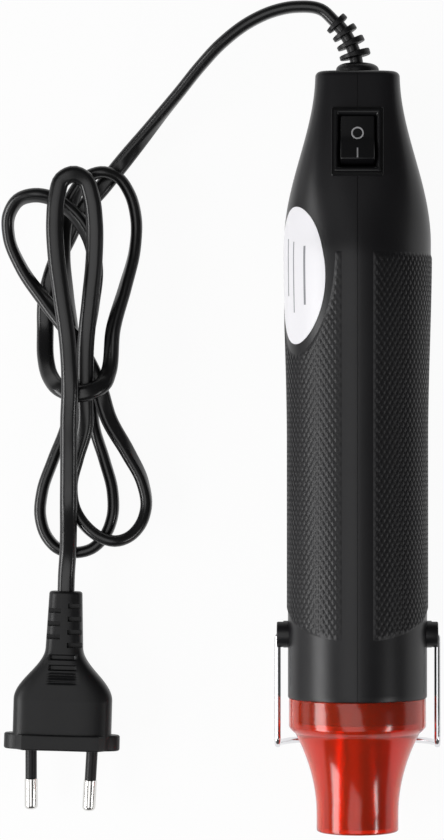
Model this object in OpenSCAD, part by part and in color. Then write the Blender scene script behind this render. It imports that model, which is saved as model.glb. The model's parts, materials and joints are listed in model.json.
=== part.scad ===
// Embossing heat tool: a small mains hot-air tool on its back, with a wire stand and a hanked flat cord.
// The tool lies along Y with its nozzle toward -Y. Its switch faces +Z, and the table is the plane z = 0.

/* [Housing] */
// Length of the whole tool, from the flat cord end to the nozzle's mouth
tool_len = 227.3; // [222:0.1:236]
// Length of the clamshell housing, from the cord end to the guard
housing_len = 186.3; // [182:0.1:190]
// Width of the flat cord end
head_w = 25.3; // [22:0.1:30]
// Height of the switch face above the axis at the cord end
head_front = 12; // [11:0.1:13.5]
// Slope of the flat switch face
face_tilt = 10.6; // [9:0.1:12]
// Distance from the cord end to the widest point
head_len = 51; // [46:0.5:58]
// Diameter at the widest point, which rests on the table
bulge_d = 44.1; // [43:0.1:47]
// Diameter of the straight grip
grip_d = 41.8; // [41:0.1:43.5]
// Length over which the bulge narrows to the grip
taper_len = 60; // [40:1:80]
// Squareness of the section at the cord end, where 2 is an ellipse
head_power = 5; // [3:0.1:6]
// Wall of the housing
wall = 2.2; // [1.6:0.1:2.6]
// Thickness of the flat end wall at the cord
end_wall = 2.6; // [2:0.1:3.4]
// Length of the spigot that carries the guard
spigot_len = 8; // [6:0.1:8.5]
// Wall of the spigot
spigot_wall = 1.8; // [1.4:0.1:2.4]
// Radius of the posts that take the housing screws
post_r = 3.3; // [3:0.1:3.8]

/* [Vents] */
// Length of one air slot along the tool
vent_len = 16; // [10:0.5:20]
// Width of one air slot
vent_w = 1.8; // [1.2:0.1:2.4]
// Distance between air slots round the back, centre to centre
vent_pitch = 4.4; // [3.4:0.1:5]
// Number of air slots in each half
vent_count = 3; // [1:1:3]
// Distance from the cord end to the middle of the air slots
vent_s = 55; // [53:0.5:58]

/* [Nozzle guard] */
// Outer diameter of the guard where it meets the housing
guard_d = 41.2; // [40.6:0.1:41.8]
// Length of the straight part of the guard
guard_land = 9.3; // [7:0.1:12]
// Wall of the guard
guard_wall = 1.5; // [1.2:0.1:1.8]
// Outer diameter of the nozzle's mouth
tip_d = 24.6; // [24:0.1:27]
// Length of the straight mouth
tip_land = 5; // [4:0.1:7]
// Drop from the straight part to the shoulder of the flare
shoulder_drop = 1.9; // [1:0.1:2.6]
// Power of the flare between the mouth and the shoulder
flare_power = 2; // [1.5:0.1:2.4]

/* [Heater] */
// Gap between the heat tube and the guard's mouth
tube_gap = 0.8; // [0.6:0.05:1.3]
// Wall of the heat tube
heat_tube_wall = 0.5; // [0.4:0.05:0.7]
// Distance of the heat tube's end behind the nozzle's mouth
heat_tube_recess = 1.5; // [1:0.1:3]
// Length of the heat tube
heat_tube_len = 72; // [66:0.5:76]
// Thickness of the mica liner and of its cards
mica_t = 0.5; // [0.4:0.05:0.6]
// Length of the mica cards
mica_len = 52; // [46:0.5:54]
// Distance of the mica cards behind the nozzle's mouth
mica_recess = 14; // [13:0.5:16]
// Number of turns of heating wire
coil_turns = 9; // [6:1:10]
// Gap between the heating wire's turns and the mica liner
coil_gap = 1.45; // [1.2:0.05:2.2]
// Diameter of the coiled heating wire
coil_wire_d = 1.2; // [0.8:0.1:1.4]

/* [Motor and fan] */
// Diameter of the motor can
motor_d = 24.4; // [23:0.1:25]
// Length of the motor can
motor_len = 27; // [24:0.5:29]
// Distance from the cord end to the motor can
motor_s = 70; // [68:0.5:72]
// Diameter of the motor shaft
shaft_d = 2; // [1.5:0.1:2.5]
// Diameter of the impeller
fan_d = 30; // [27:0.5:31]
// Depth of the impeller's blades
fan_depth = 7; // [6:0.5:8]
// Number of impeller blades
fan_blades = 7; // [5:1:9]
// Pitch of the impeller's blades against the axis
fan_pitch = 40; // [30:1:50]

/* [Switch] */
// Width of the switch frame
switch_w = 15.4; // [15:0.1:16.5]
// Length of the switch frame
switch_l = 21; // [20.5:0.1:22]
// Height of the switch frame above the housing
switch_rim = 1.9; // [1.6:0.1:2.4]
// Distance from the cord end to the middle of the switch
switch_s = 21.6; // [19:0.1:24]
// Width of the rocker
rocker_w = 10.1; // [9:0.1:10.4]
// Radius of the rocker's ends about its pivot
rocker_r = 7.1; // [6.8:0.1:7.3]
// Angle between the rocker's two faces and a flat one
rocker_vee = 10; // [8:0.5:10]
// Depth of the switch body below the housing's face
switch_depth = 12; // [11:0.1:13]

/* [Strain relief] */
// Diameter of the collar at the housing
collar_d = 12.9; // [12:0.1:14]
// Height of the collar
collar_h = 3.2; // [2.2:0.1:3.4]
// Radius that the boot bends to
boot_bend_r = 21.5; // [19:0.1:24]
// Angle that the boot bends through
boot_angle = 47; // [40:0.5:52]
// Diameter of the ribs at the collar
rib_d = 9.4; // [8.6:0.1:10]
// Diameter of the rib at the boot's tip
rib_tip_d = 7.3; // [7.1:0.1:8]
// Thickness of each rib
rib_t = 1.7; // [1.4:0.1:1.9]

/* [Stand] */
// Diameter of the stand's wire
wire_d = 1.9; // [1.6:0.1:2.2]
// Distance from the tool's axis to the middle of each arm
arm_x = 24; // [23.8:0.1:25.5]
// Distance from the cord end to the stand's pivot
pivot_s = 168.2; // [166:0.1:170]
// Length of the arms from the pivot to the foot
arm_len = 33.3; // [31:0.1:35]
// Bend between the foot's sides and its bar
foot_bend_r = 17; // [15:0.1:17.5]
// Bend between each arm and the foot
arm_bend_r = 2.5; // [1.6:0.1:3]
// Diameter of the lugs that hold the stand
lug_d = 8.1; // [7:0.1:9]
// Reach of the lug's cover from the tool's axis
lug_x = 24.2; // [23.6:0.1:24.4]

/* [Plug] */
// Width of the plug's flange
flange_w = 35.3; // [35:0.1:36]
// Height of the plug's flange
flange_h = 13.7; // [13:0.1:14]
// Thickness of the plug's flange
flange_t = 4.8; // [4:0.1:5.4]
// Width of the plug's body
plug_w = 29.9; // [28:0.1:31]
// Length of the plug's straight body, with the flange
plug_straight = 15; // [14:0.1:16]
// Length of the plug with its boot
plug_len = 48.2; // [46:0.5:52]
// Diameter of the pins
pin_d = 4; // [3.9:0.05:4.1]
// Length of the pins outside the plug
pin_len = 18.5; // [18:0.1:19.5]
// Distance between the pins at the plug's face
pin_pitch = 18.6; // [18.4:0.1:18.8]
// Lean of each pin toward the other
pin_lean = 1.7; // [1:0.1:2]
// Length of the insulating sleeve on each pin
sleeve_len = 9.2; // [8:0.1:10]
// Diameter of the insulating sleeve
sleeve_d = 3.5; // [3.4:0.05:3.6]

/* [Cord] */
// Width of the flat twin cord
cord_w = 5.2; // [4.8:0.1:5.2]
// Thickness of the flat twin cord
cord_t = 3.6; // [3.2:0.1:3.6]

/* [Label] */
// Length of the oval label along the tool
label_len = 40.8; // [36:0.1:42]
// Width of the oval label
label_w = 23.6; // [20:0.1:25]
// Distance from the cord end to the middle of the label
label_s = 61; // [58:0.5:64]
// Angle round the tool from the switch face to the middle of the label
label_angle = 58; // [52:1:62]

/* [Hidden] */
$fn = 48;

// Clearances
fit_gap = 0.15;
running_gap = 0.05;
body_gap = 0.35;
skin_gap = 0.02;

// Steps of the lofted sections and stations
arc_steps = 16;
head_steps = 9;
taper_steps = 5;
eps = 0.01;

// Places that follow from the sizes above
bulge_r = bulge_d / 2;
grip_r = grip_d / 2;
axis_z = bulge_r;
spigot_r = guard_d / 2 - guard_wall - fit_gap;
bore_r = spigot_r - spigot_wall;
tip_r = tip_d / 2;
wire_r = wire_d / 2;
pivot_bore_r = wire_r + running_gap;
guard_r = guard_d / 2;
guard_len = tool_len - housing_len;
collar_r = collar_d / 2;
boot_core_w = cord_t + 0.3;
boot_core_h = cord_w + 0.3;
boot_neck_r = 4;
boot_flange_r = 5.2;
boot_flange_t = 1.8;

// Screws, where the head's seat and the grip are measured from the seam
screw_r = 1.2;
screw_head_r = 2.2;
screw_head_h = 1.6;
recess_len = 1.2 * screw_head_r;
recess_w = screw_head_r / 4;
head_seat = 0.19 * grip_r;
screw_grip = 0.33 * grip_r;

// Fan and motor
fan_gap = 0.5;
hub_r = 4;
fan_s = motor_s + motor_len + 3 + fan_depth / 2;
shaft_r = shaft_d / 2;
can_wall = 1;
magnet_t = 3;
motor_r = motor_d / 2;
bush_r = 2.6;
bush_len = 3;
lead_r = 0.9;
lead_x = 17.1;

// Heater
heat_tube_r = tip_r - guard_wall - tube_gap;
heat_tube_end = tool_len - heat_tube_recess;
liner_r = heat_tube_r - heat_tube_wall - fit_gap;
coil_r = liner_r - mica_t - coil_gap - coil_wire_d / 2;
cards_end = tool_len - mica_recess;
cards_start = cards_end - mica_len;

// Switch, where z is measured from the housing's face
opening_w = rocker_w + 2 * body_gap;
opening_l = 2 * (rocker_r + body_gap);
switch_wall = 1.1;
body_w = opening_w + 2 * switch_wall;
body_l = opening_l + 2 * switch_wall;
body_cut_w = body_w + 2 * fit_gap;
body_cut_l = body_l + 2 * fit_gap;
pivot_z = -1;
trunnion_r = 1.2;

// Stand
lug_face_x = arm_x - wire_r - 2 * body_gap;
pin_root_x = grip_r - 0.5;

// The tool's own frame: x to the right, y toward the switch, z from the cord end toward the nozzle
module tool() {
    translate([0, tool_len / 2, axis_z]) rotate([90, 0, 0]) children();
}

// Smooth step from 0 to 1
function ease(u) = pow(sin(90 * min(max(u, 0), 1)), 2);

// Half width, front height and squareness of the housing at the distance s from the cord end
function half_width(s) = s < head_len
    ? head_w / 2 + (bulge_r - head_w / 2) * ease(s / head_len)
    : bulge_r + (grip_r - bulge_r) * ease((s - head_len) / taper_len);
function face_line(s) = head_front + s * tan(face_tilt);
function front_rise(s) = s < head_len ? min(face_line(s), bulge_r) : min(face_line(s), half_width(s));
function squareness(s) = 2 + (head_power - 2) * (1 - ease(s / head_len));

// One point of the housing's section, at the angle a from the right toward the switch
function section_point(s, a, inset) = let (
        p = 2 / squareness(s),
        w = half_width(s) - inset,
        h = (sin(a) > 0 ? front_rise(s) : half_width(s)) - inset
    ) [
        w * sign(cos(a)) * pow(abs(cos(a)), p),
        h * sign(sin(a)) * pow(abs(sin(a)), p),
        s
    ];
function half_ring(s, inset) = [for (i = [0:arc_steps]) section_point(s, 90 - 180 * i / arc_steps, inset)];
function full_ring(s, inset) =
    [for (i = [0:2 * arc_steps - 1]) section_point(s, 90 - 180 * i / arc_steps, inset)];

// Stations of the loft along the housing
function stations(from, to) = concat(
    [from],
    [for (i = [1:head_steps]) if (head_len * i / head_steps > from + 1) head_len * i / head_steps],
    [for (i = [1:taper_steps]) head_len + taper_len * i / taper_steps],
    [to]
);

// A closed skin over a row of rings, each ring clockwise when seen from +z
module loft(rings) {
    m = len(rings[0]);
    n = len(rings);
    sides = [
        for (k = [0:n - 2], i = [0:m - 1])
            let (a = k * m + i, b = k * m + (i + 1) % m)
            each [[a, b, b + m], [a, b + m, a + m]]
    ];
    first = [for (i = [m - 1:-1:0]) i];
    last = [for (i = [0:m - 1]) (n - 1) * m + i];
    polyhedron([for (r = rings) each r], concat(sides, [first, last]));
}

// The right half of the housing's outside, grown or shrunk by the inset
module half_form(inset) {
    loft([for (s = stations(0, housing_len)) half_ring(s, inset)]);
}

// The hollow of the housing
module cavity() {
    loft([for (s = stations(end_wall, housing_len + 1)) full_ring(s, wall)]);
}

// Switch frame: x to the right, y toward the cord, z out of the housing's face
module at_switch() {
    translate([0, tool_len / 2 - switch_s, axis_z + face_line(switch_s)])
        rotate([-face_tilt, 0, 0])
            children();
}

// Posts for the housing screws: height from the axis and distance from the cord end
post_places = [[-10, 36], [-15.9, 84], [-15.9, 122], [-15.9, 150]];

module screw_posts(r) {
    for (p = post_places)
        translate([-grip_r, p[0], p[1]]) rotate([0, 90, 0]) cylinder(r = r, h = grip_d);
}

// Everything solid inside one half: posts, the spigot's step, the fan's ring and the groove for the boot
module keepers() {
    screw_posts(post_r);
    translate([0, 0, housing_len - 5]) ring(grip_r, bore_r + fit_gap, 6);
    translate([0, 0, fan_s - fan_depth / 2 - 1]) ring(bulge_r, fan_d / 2 + fan_gap, fan_depth + 2);
    translate([0, 0, end_wall - 1]) cylinder(r = boot_neck_r + 2.4, h = boot_flange_t + fit_gap + 2.6);
}

module ring(outer, inner, h) {
    difference() {
        cylinder(r = outer, h = h);
        translate([0, 0, -1]) cylinder(r = inner, h = h + 2);
    }
}

// One housing half, made as the right one. Its screws come from the left.
module shell(left) {
    tool() mirror([left ? 1 : 0, 0, 0]) difference() {
        union() {
            difference() {
                half_form(0);
                difference() {
                    cavity();
                    keepers();
                }
            }
            rotate([0, 0, -90]) translate([0, 0, housing_len - 5 + eps])
                rotate_extrude(angle = 180) translate([bore_r, 0]) square([spigot_wall, spigot_len + 5]);
            lug();
        }
        lug_bore();
        cord_way();
        vents();
        lead_channel();
        for (p = post_places) translate([0, p[0], p[1]]) rotate([0, 90, 0]) {
            if (left) {
                translate([0, 0, -1]) cylinder(r = screw_r + fit_gap, h = grip_r + 2);
                translate([0, 0, head_seat]) cylinder(r = screw_head_r + fit_gap, h = grip_r);
            } else {
                translate([0, 0, -1]) cylinder(r = screw_r + running_gap, h = screw_grip + 1.6);
            }
        }
        if (left) mirror([1, 0, 0]) switch_cut(); else switch_cut();
    }
}

module switch_cut() {
    // The opening for the switch body, in the tool's own frame
    translate([0, face_line(switch_s), switch_s]) rotate([-90 - face_tilt, 0, 0])
        translate([-body_cut_w / 2, -body_cut_l / 2, -switch_depth])
            cube([body_cut_w, body_cut_l, 2 * switch_depth]);
}

module cord_way() {
    // The boot's neck through the end wall, its groove, and the way on for the cord
    translate([0, 0, -1]) cylinder(r = boot_neck_r + fit_gap, h = end_wall + 1 + eps);
    translate([0, 0, end_wall]) cylinder(r = boot_flange_r + fit_gap, h = boot_flange_t + fit_gap);
    translate([0, 0, end_wall]) cylinder(r = cord_w / 2 + fit_gap, h = boot_flange_t + 4);
}

module vents() {
    for (i = [0:vent_count - 1])
        rotate([0, 0, -75 + i * vent_pitch / bulge_r * 180 / PI])
            translate([0, -vent_w / 2, vent_s - vent_len / 2]) cube([bulge_r + 1, vent_w, vent_len]);
}

module lead_channel() {
    // The way past the fan's ring for the lead that runs along each half
    translate([lead_x, 0, fan_s - fan_depth]) cylinder(r = lead_r + body_gap, h = 2 * fan_depth);
}

module lug() {
    translate([0, 0, pivot_s]) rotate([0, 90, 0]) difference() {
        translate([0, 0, grip_r - wall / 2]) cylinder(d = lug_d, h = lug_x - grip_r + wall / 2);
        // The back of the lug is cut away where the stand's arm swings
        translate([-lug_d, wire_r + body_gap - lug_d, lug_face_x]) cube([2 * lug_d, lug_d, lug_d]);
    }
}

module lug_bore() {
    translate([pin_root_x - body_gap, 0, pivot_s]) rotate([0, 90, 0])
        cylinder(r = pivot_bore_r, h = lug_face_x - pin_root_x + body_gap + 1);
}

module left_shell() {
    color("#1b1b1d") shell(true);
}

module right_shell() {
    color("#1f1f22") shell(false);
}

// One screw along +z: the head below z = 0, the shank above it
module screw(r, head_r, head_h, len) {
    translate([0, 0, -head_h]) cylinder(r = head_r, h = head_h);
    translate([0, 0, -eps]) cylinder(r = r, h = len);
}

module housing_screws() {
    color("silver") tool() for (p = post_places)
        translate([-head_seat + skin_gap, p[0], p[1]]) rotate([0, 90, 0]) difference() {
            translate([0, 0, -2 * skin_gap])
                screw(screw_r, screw_head_r, screw_head_h, head_seat + screw_grip);
            // Cross recess of the head
            for (a = [0, 90])
                rotate([0, 0, a]) translate([-recess_len / 2, -recess_w / 2, -1.5 * screw_head_h])
                    cube([recess_len, recess_w, screw_head_h]);
        }
}

// A place on the boot's arc at the angle a, with local -z pointing out along the cord
module at_boot(a) {
    translate([-boot_bend_r, 0, 0]) rotate([0, a, 0]) translate([boot_bend_r, 0, 0]) children();
}

module boot_section() {
    square([boot_core_w, boot_core_h - boot_core_w], center = true);
    for (side = [-1, 1])
        translate([0, side * (boot_core_h - boot_core_w) / 2]) circle(d = boot_core_w);
}

module strain_relief() {
    // Ribs stand every rib_step degrees along the arc
    first_rib = 15.5;
    rib_step = 9.7;
    rib_count = 4;
    dome_r = 3;
    rim_h = 1.2;
    color("#202022") tool() {
        translate([0, 0, -eps]) cylinder(r = boot_neck_r, h = end_wall + 2 * eps);
        translate([0, 0, end_wall + skin_gap]) cylinder(r = boot_flange_r, h = boot_flange_t);
        rotate_extrude() polygon(concat(
            [[0, -skin_gap], [collar_r, -skin_gap]],
            [for (a = [0:18:90])
                [dome_r + (collar_r - dome_r) * cos(a), -rim_h - (collar_h - rim_h) * sin(a)]],
            [[0, -collar_h]]
        ));
        translate([-boot_bend_r, 0, 0]) rotate([-90, 0, 0]) rotate_extrude(angle = boot_angle)
            translate([boot_bend_r, 0]) boot_section();
        for (i = [0:rib_count - 1])
            at_boot(first_rib + rib_step * i) translate([0, 0, -rib_t / 2])
                cylinder(d = rib_d + (rib_tip_d - rib_d) * i / (rib_count - 1), h = rib_t);
    }
}

// Clamp that holds the cord behind the boot: a saddle below it and a bar above it
clamp_s = 8;
clamp_len = 5;
clamp_w = 17;
saddle_h = 3.5;
bar_h = 2.4;
clamp_screw_x = 5.6;
clamp_screw_r = 1.1;

module cord_clamp() {
    color("#303034") tool() difference() {
        union() {
            translate([-clamp_w / 2, -cord_t / 2 - skin_gap - saddle_h, clamp_s])
                cube([clamp_w, saddle_h, clamp_len]);
            translate([-clamp_w / 2, cord_t / 2 + skin_gap, clamp_s]) cube([clamp_w, bar_h, clamp_len]);
        }
        for (x = [-1, 1] * clamp_screw_x)
            translate([x, -10, clamp_s + clamp_len / 2]) rotate([-90, 0, 0])
                cylinder(r = clamp_screw_r + running_gap, h = 20);
    }
}

module clamp_screws() {
    color("silver") tool() for (x = [-1, 1] * clamp_screw_x)
        translate([x, cord_t / 2 + bar_h + 2 * skin_gap, clamp_s + clamp_len / 2]) rotate([90, 0, 0])
            screw(clamp_screw_r, 2, 1.2, cord_t + bar_h + saddle_h - 0.5);
}

module rounded_plate(w, l, r, h) {
    linear_extrude(h) {
        square([w - 2 * r, l], center = true);
        square([w, l - 2 * r], center = true);
        for (x = [-1, 1], y = [-1, 1])
            translate([x * (w / 2 - r), y * (l / 2 - r)]) circle(r = r);
    }
}

module switch_frame() {
    floor_t = 1.5;
    color("#141416") at_switch() difference() {
        union() {
            translate([0, 0, skin_gap]) rounded_plate(switch_w, switch_l, 1, switch_rim);
            translate([-body_w / 2, -body_l / 2, -switch_depth]) cube([body_w, body_l, switch_depth + 1]);
        }
        translate([-opening_w / 2, -opening_l / 2, floor_t - switch_depth])
            cube([opening_w, opening_l, switch_depth + switch_rim]);
        translate([-body_w, 0, pivot_z]) rotate([0, 90, 0])
            cylinder(r = trunnion_r + running_gap, h = 2 * body_w);
    }
}

module rocker() {
    // At rest the end by the cord is pressed in, so the switch is off
    top = 2.6;
    bottom = 5;
    edge = 2.2;
    foot = 2.5;
    color("#17171a") at_switch() translate([0, 0, pivot_z]) rotate([-rocker_vee, 0, 0]) {
        intersection() {
            rotate([90, 0, 90]) translate([0, 0, -rocker_w / 2]) linear_extrude(rocker_w) polygon([
                [0, top], [-rocker_r, top + rocker_r * tan(rocker_vee)], [-rocker_r, -edge], [-foot, -bottom],
                [foot, -bottom], [rocker_r, -edge], [rocker_r, top + rocker_r * tan(rocker_vee)]
            ]);
            rotate([0, 90, 0]) cylinder(r = rocker_r, h = 2 * rocker_w, center = true);
        }
        rotate([0, 90, 0]) cylinder(r = trunnion_r, h = opening_w + 2 * switch_wall - 0.2, center = true);
    }
}

terminal_y = 4.5;
terminal_len = 5.5;

module switch_terminals() {
    color("#c9a46a") at_switch() for (y = [-1, 1] * terminal_y)
        translate([-2.4, y - 0.4, -switch_depth - skin_gap - terminal_len]) difference() {
            cube([4.8, 0.8, terminal_len]);
            translate([2.4, -1, 1.8]) rotate([-90, 0, 0]) cylinder(r = 0.7, h = 3);
        }
}

// A round wire through a row of points, with a ring of wire_sides corners at each
wire_sides = 8;
function wire_ring(points, i, r) = let (
        d = unit(points[min(i + 1, len(points) - 1)] - points[max(i - 1, 0)]),
        across = unit(cross([0, 1, 0], d)),
        up = cross(d, across)
    ) [for (a = [0:360 / wire_sides:359]) points[i] + r * (cos(a) * across - sin(a) * up)];

module wire(points, r) {
    loft([for (i = [0:len(points) - 1]) wire_ring(points, i, r)]);
}

// The mains leads: the flat cord's end in its clamp, a lead to the switch, and one lead along each half
core_x = cord_w / 4;
jacket_s = end_wall + boot_flange_t + 3 * skin_gap;
jacket_end = clamp_s + clamp_len + 1;
switch_lead = [[-core_x, 0, jacket_end - 1], [-core_x, -2.5, 18], [-core_x, -3, 20]];
right_lead = [[core_x, 0, jacket_end - 1], [9, -4, 38], [lead_x, 0, 60], [lead_x, 0, 118], [4, 0, 146]];
left_lead = [[-3.6, -1.6, 30], [-9, 0, 38], [-lead_x, 0, 60], [-lead_x, 0, 118], [-4, 0, 146]];

module mains_leads() {
    color("#7a3b22") tool() {
        translate([0, 0, jacket_s]) linear_extrude(jacket_end - jacket_s) {
            square([cord_w - cord_t, cord_t - 2 * skin_gap], center = true);
            for (x = [-1, 1] * (cord_w - cord_t) / 2)
                translate([x, 0]) circle(d = cord_t - 2 * skin_gap);
        }
        wire(switch_lead, lead_r);
        wire(right_lead, lead_r);
        wire(left_lead, lead_r);
    }
}

board_s = motor_s - 5;
board_t = 1.2;
cap_t = 2;

module rectifier_board() {
    color("#2f6b3a") tool() translate([0, 0, board_s]) difference() {
        cylinder(r = motor_r - 0.4, h = board_t);
        translate([0, 0, -1]) cylinder(r = bush_r + 1.4, h = board_t + 2);
    }
}

module diodes() {
    diode_r = 0.106 * motor_r;
    diode_len = 0.38 * motor_r;
    color("#101012") tool() for (a = [45:90:315])
        rotate([0, 0, a]) translate([0.65 * motor_r, -diode_len / 2, board_s - diode_r - skin_gap])
            rotate([-90, 0, 0]) cylinder(r = diode_r, h = diode_len);
}

module motor_cradle() {
    cradle_len = 6;
    arm_t = 2;
    reach = half_width(motor_s + motor_len) - wall - body_gap;
    color("#3a3a3e") tool() translate([0, 0, motor_s + motor_len - cradle_len - 0.5]) difference() {
        union() {
            cylinder(r = motor_r + 1.8, h = cradle_len);
            intersection() {
                for (a = [90, 210, 330])
                    rotate([0, 0, a]) translate([0, -arm_t / 2, 0]) cube([bulge_r, arm_t, cradle_len]);
                cylinder(r = reach, h = cradle_len);
            }
        }
        translate([0, 0, -1]) cylinder(r = motor_r + skin_gap, h = cradle_len + 2);
    }
}

module motor_can() {
    boss_h = bush_len - can_wall;
    color("#b9bcc2") tool() translate([0, 0, motor_s]) difference() {
        union() {
            cylinder(r = motor_r, h = motor_len);
            translate([0, 0, motor_len - eps]) cylinder(r = bush_r + 1, h = boss_h);
        }
        translate([0, 0, -1]) cylinder(r = motor_r - can_wall, h = motor_len + 1 - can_wall);
        cylinder(r = bush_r + skin_gap, h = motor_len + boss_h + 1);
    }
}

module motor_end_cap() {
    color("#e9e6da") tool() translate([0, 0, motor_s - cap_t - skin_gap]) difference() {
        union() {
            cylinder(r = motor_r, h = cap_t);
            translate([0, 0, cap_t - eps]) cylinder(r = motor_r - can_wall - fit_gap, h = 1.5);
            translate([0, 0, cap_t - bush_len]) cylinder(r = bush_r + 1, h = bush_len);
        }
        translate([0, 0, -bush_len]) cylinder(r = bush_r + skin_gap, h = 3 * bush_len);
    }
}

module motor_bearings() {
    color("#b08d57") tool()
        for (s = [motor_s - skin_gap - bush_len, motor_s + motor_len - can_wall])
            translate([0, 0, s]) ring(bush_r, shaft_r + running_gap, bush_len);
}

module motor_magnets() {
    magnet_end = 0.15 * motor_len;
    magnet_len = motor_len - 2 * magnet_end;
    split_w = motor_r / 2;
    color("#4a4a50") tool() translate([0, 0, motor_s + magnet_end]) difference() {
        ring(motor_r - can_wall - skin_gap, motor_r - can_wall - magnet_t, magnet_len);
        for (a = [0, 180])
            rotate([0, 0, a - 25]) translate([0, -split_w / 2, -1]) cube([motor_r, split_w, magnet_len + 2]);
    }
}

module armature() {
    core_end = 0.185 * motor_len;
    core_len = motor_len - 2 * core_end;
    core_r = motor_r - can_wall - magnet_t - body_gap;
    slot_w = 0.2 * core_r;
    color("#a06a3c") tool() translate([0, 0, motor_s + core_end]) difference() {
        cylinder(r = core_r, h = core_len);
        translate([0, 0, -1]) cylinder(r = shaft_r + skin_gap, h = core_len + 2);
        for (a = [90, 210, 330])
            rotate([0, 0, a]) translate([core_r / 2, -slot_w / 2, -1]) cube([core_r, slot_w, core_len + 2]);
    }
}

module motor_shaft() {
    start = motor_s - 4.5;
    color("silver") tool() translate([0, 0, start]) cylinder(r = shaft_r, h = fan_s + fan_depth / 2 - start);
}

module impeller() {
    blade_t = 0.9;
    chord = fan_depth / sin(fan_pitch);
    color("#e8e4d8") tool() translate([0, 0, fan_s - fan_depth / 2]) difference() {
        union() {
            cylinder(r = hub_r, h = fan_depth);
            intersection() {
                translate([0, 0, fan_depth / 2]) for (i = [0:fan_blades - 1])
                    rotate([0, 0, 360 * i / fan_blades]) rotate([fan_pitch, 0, 0])
                        translate([hub_r / 2, -chord / 2, -blade_t / 2]) cube([fan_d, chord, blade_t]);
                cylinder(r = fan_d / 2, h = fan_depth);
            }
        }
        translate([0, 0, -1]) cylinder(r = shaft_r + skin_gap, h = fan_depth + 2);
    }
}

module heat_tube() {
    color("#8f8578") tool() translate([0, 0, heat_tube_end - heat_tube_len])
        ring(heat_tube_r, heat_tube_r - heat_tube_wall, heat_tube_len);
}

module heat_tube_flange() {
    // Steel plate clamped between the spigot and the guard's shoulder, with windows for cooling air
    plate_t = guard_land - spigot_len - 4 * skin_gap;
    window_r = 2.6;
    color("#a9aab0") tool() translate([0, 0, housing_len + spigot_len + skin_gap]) difference() {
        cylinder(r = spigot_r, h = plate_t);
        translate([0, 0, -1]) cylinder(r = heat_tube_r + skin_gap, h = plate_t + 2);
        for (a = [0:45:315])
            rotate([0, 0, a]) translate([(heat_tube_r + spigot_r) / 2, 0, -1])
                cylinder(r = window_r, h = plate_t + 2);
    }
}

module mica_liner() {
    color("#c8b48a") tool() translate([0, 0, cards_start - 2]) ring(liner_r, liner_r - mica_t, mica_len + 3);
}

module mica_cards() {
    tab_len = 5;
    tab_w = 2 * (liner_r - mica_t - fit_gap);
    card_w = 2 * (coil_r - coil_wire_d / 2 - fit_gap);
    color("#d8c79c") tool() translate([0, 0, cards_start]) for (a = [0, 90])
        rotate([0, 0, a]) {
            translate([-card_w / 2, -mica_t / 2, 0]) cube([card_w, mica_t, mica_len]);
            for (z = [0, mica_len - tab_len])
                translate([-tab_w / 2, -mica_t / 2, z]) cube([tab_w, mica_t, tab_len]);
        }
}

// Points of a helix, and the ring of a round wire at one of them
function helix(a, r, pitch) = [r * cos(a), r * sin(a), pitch * a / 360];

module heater_coil() {
    rings_a_turn = 8;
    sides = 6;
    inset = 6.5;
    pitch = (mica_len - 2 * inset) / coil_turns;
    lean = atan(pitch / (2 * PI * coil_r));
    color("#5c5048") tool() translate([0, 0, cards_start + inset]) loft([
        for (i = [0:coil_turns * rings_a_turn])
            let (a = 360 * i / rings_a_turn, c = helix(a, coil_r, pitch))
            [
                for (k = [0:sides - 1])
                    let (b = 360 * k / sides, u = coil_wire_d / 2 * cos(b), v = coil_wire_d / 2 * sin(b))
                    c + [
                        u * cos(a) + v * sin(lean) * sin(a),
                        u * sin(a) - v * sin(lean) * cos(a),
                        v * cos(lean)
                    ]
            ]
    ]);
}

module thermal_cutout() {
    color("#e4e2dc") tool() translate([-3, -2, cards_start - 10]) cube([6, 4, 9]);
}

// Outer radius of the guard at the distance z from the housing
shoulder_len = 2.2;
flare_len = guard_len - guard_land - shoulder_len - tip_land;
function flare(u) = tip_r + (guard_r - shoulder_drop - tip_r) * pow(u, flare_power);

module nozzle_guard() {
    shoulder_steps = 3;
    shoulder_power = 1.6;
    flare_steps = 8;
    outer = concat(
        [[guard_r, 0]],
        [for (i = [0:shoulder_steps - 1])
            let (u = i / shoulder_steps)
                [guard_r - shoulder_drop * pow(u, shoulder_power), guard_land + shoulder_len * u]],
        [for (i = [0:flare_steps])
            let (u = i / flare_steps) [flare(1 - u), guard_land + shoulder_len + flare_len * u]],
        [[tip_r, guard_len]]
    );
    inner = [for (i = [len(outer) - 1:-1:0]) outer[i] - [guard_wall, 0]];
    color([0.75, 0.08, 0.04, 0.8]) tool() translate([0, 0, housing_len + skin_gap]) rotate_extrude($fn = 96)
        polygon([for (p = concat(outer, inner)) [p[0], min(p[1], guard_len - skin_gap)]]);
}

module rating_label() {
    label_t = 0.15;
    squash = label_len / label_w;
    color("white") tool() intersection() {
        difference() {
            mirror([1, 0, 0]) half_form(-label_t);
            mirror([1, 0, 0]) half_form(-skin_gap);
        }
        rotate([0, 0, label_angle]) translate([0, 0, label_s]) rotate([-90, 0, 0]) linear_extrude(bulge_r + 2)
            polygon([for (a = [0:10:350]) [label_w / 2 * cos(a), label_w / 2 * squash * sin(a)]]);
    }
}

// A quarter bend of the stand's wire, from +x to +y about its centre
module wire_bend(r) {
    rotate_extrude(angle = 90) translate([r, 0]) circle(r = wire_r, $fn = 24);
}

module wire_run(len) {
    cylinder(r = wire_r, h = len, $fn = 24);
}

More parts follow.
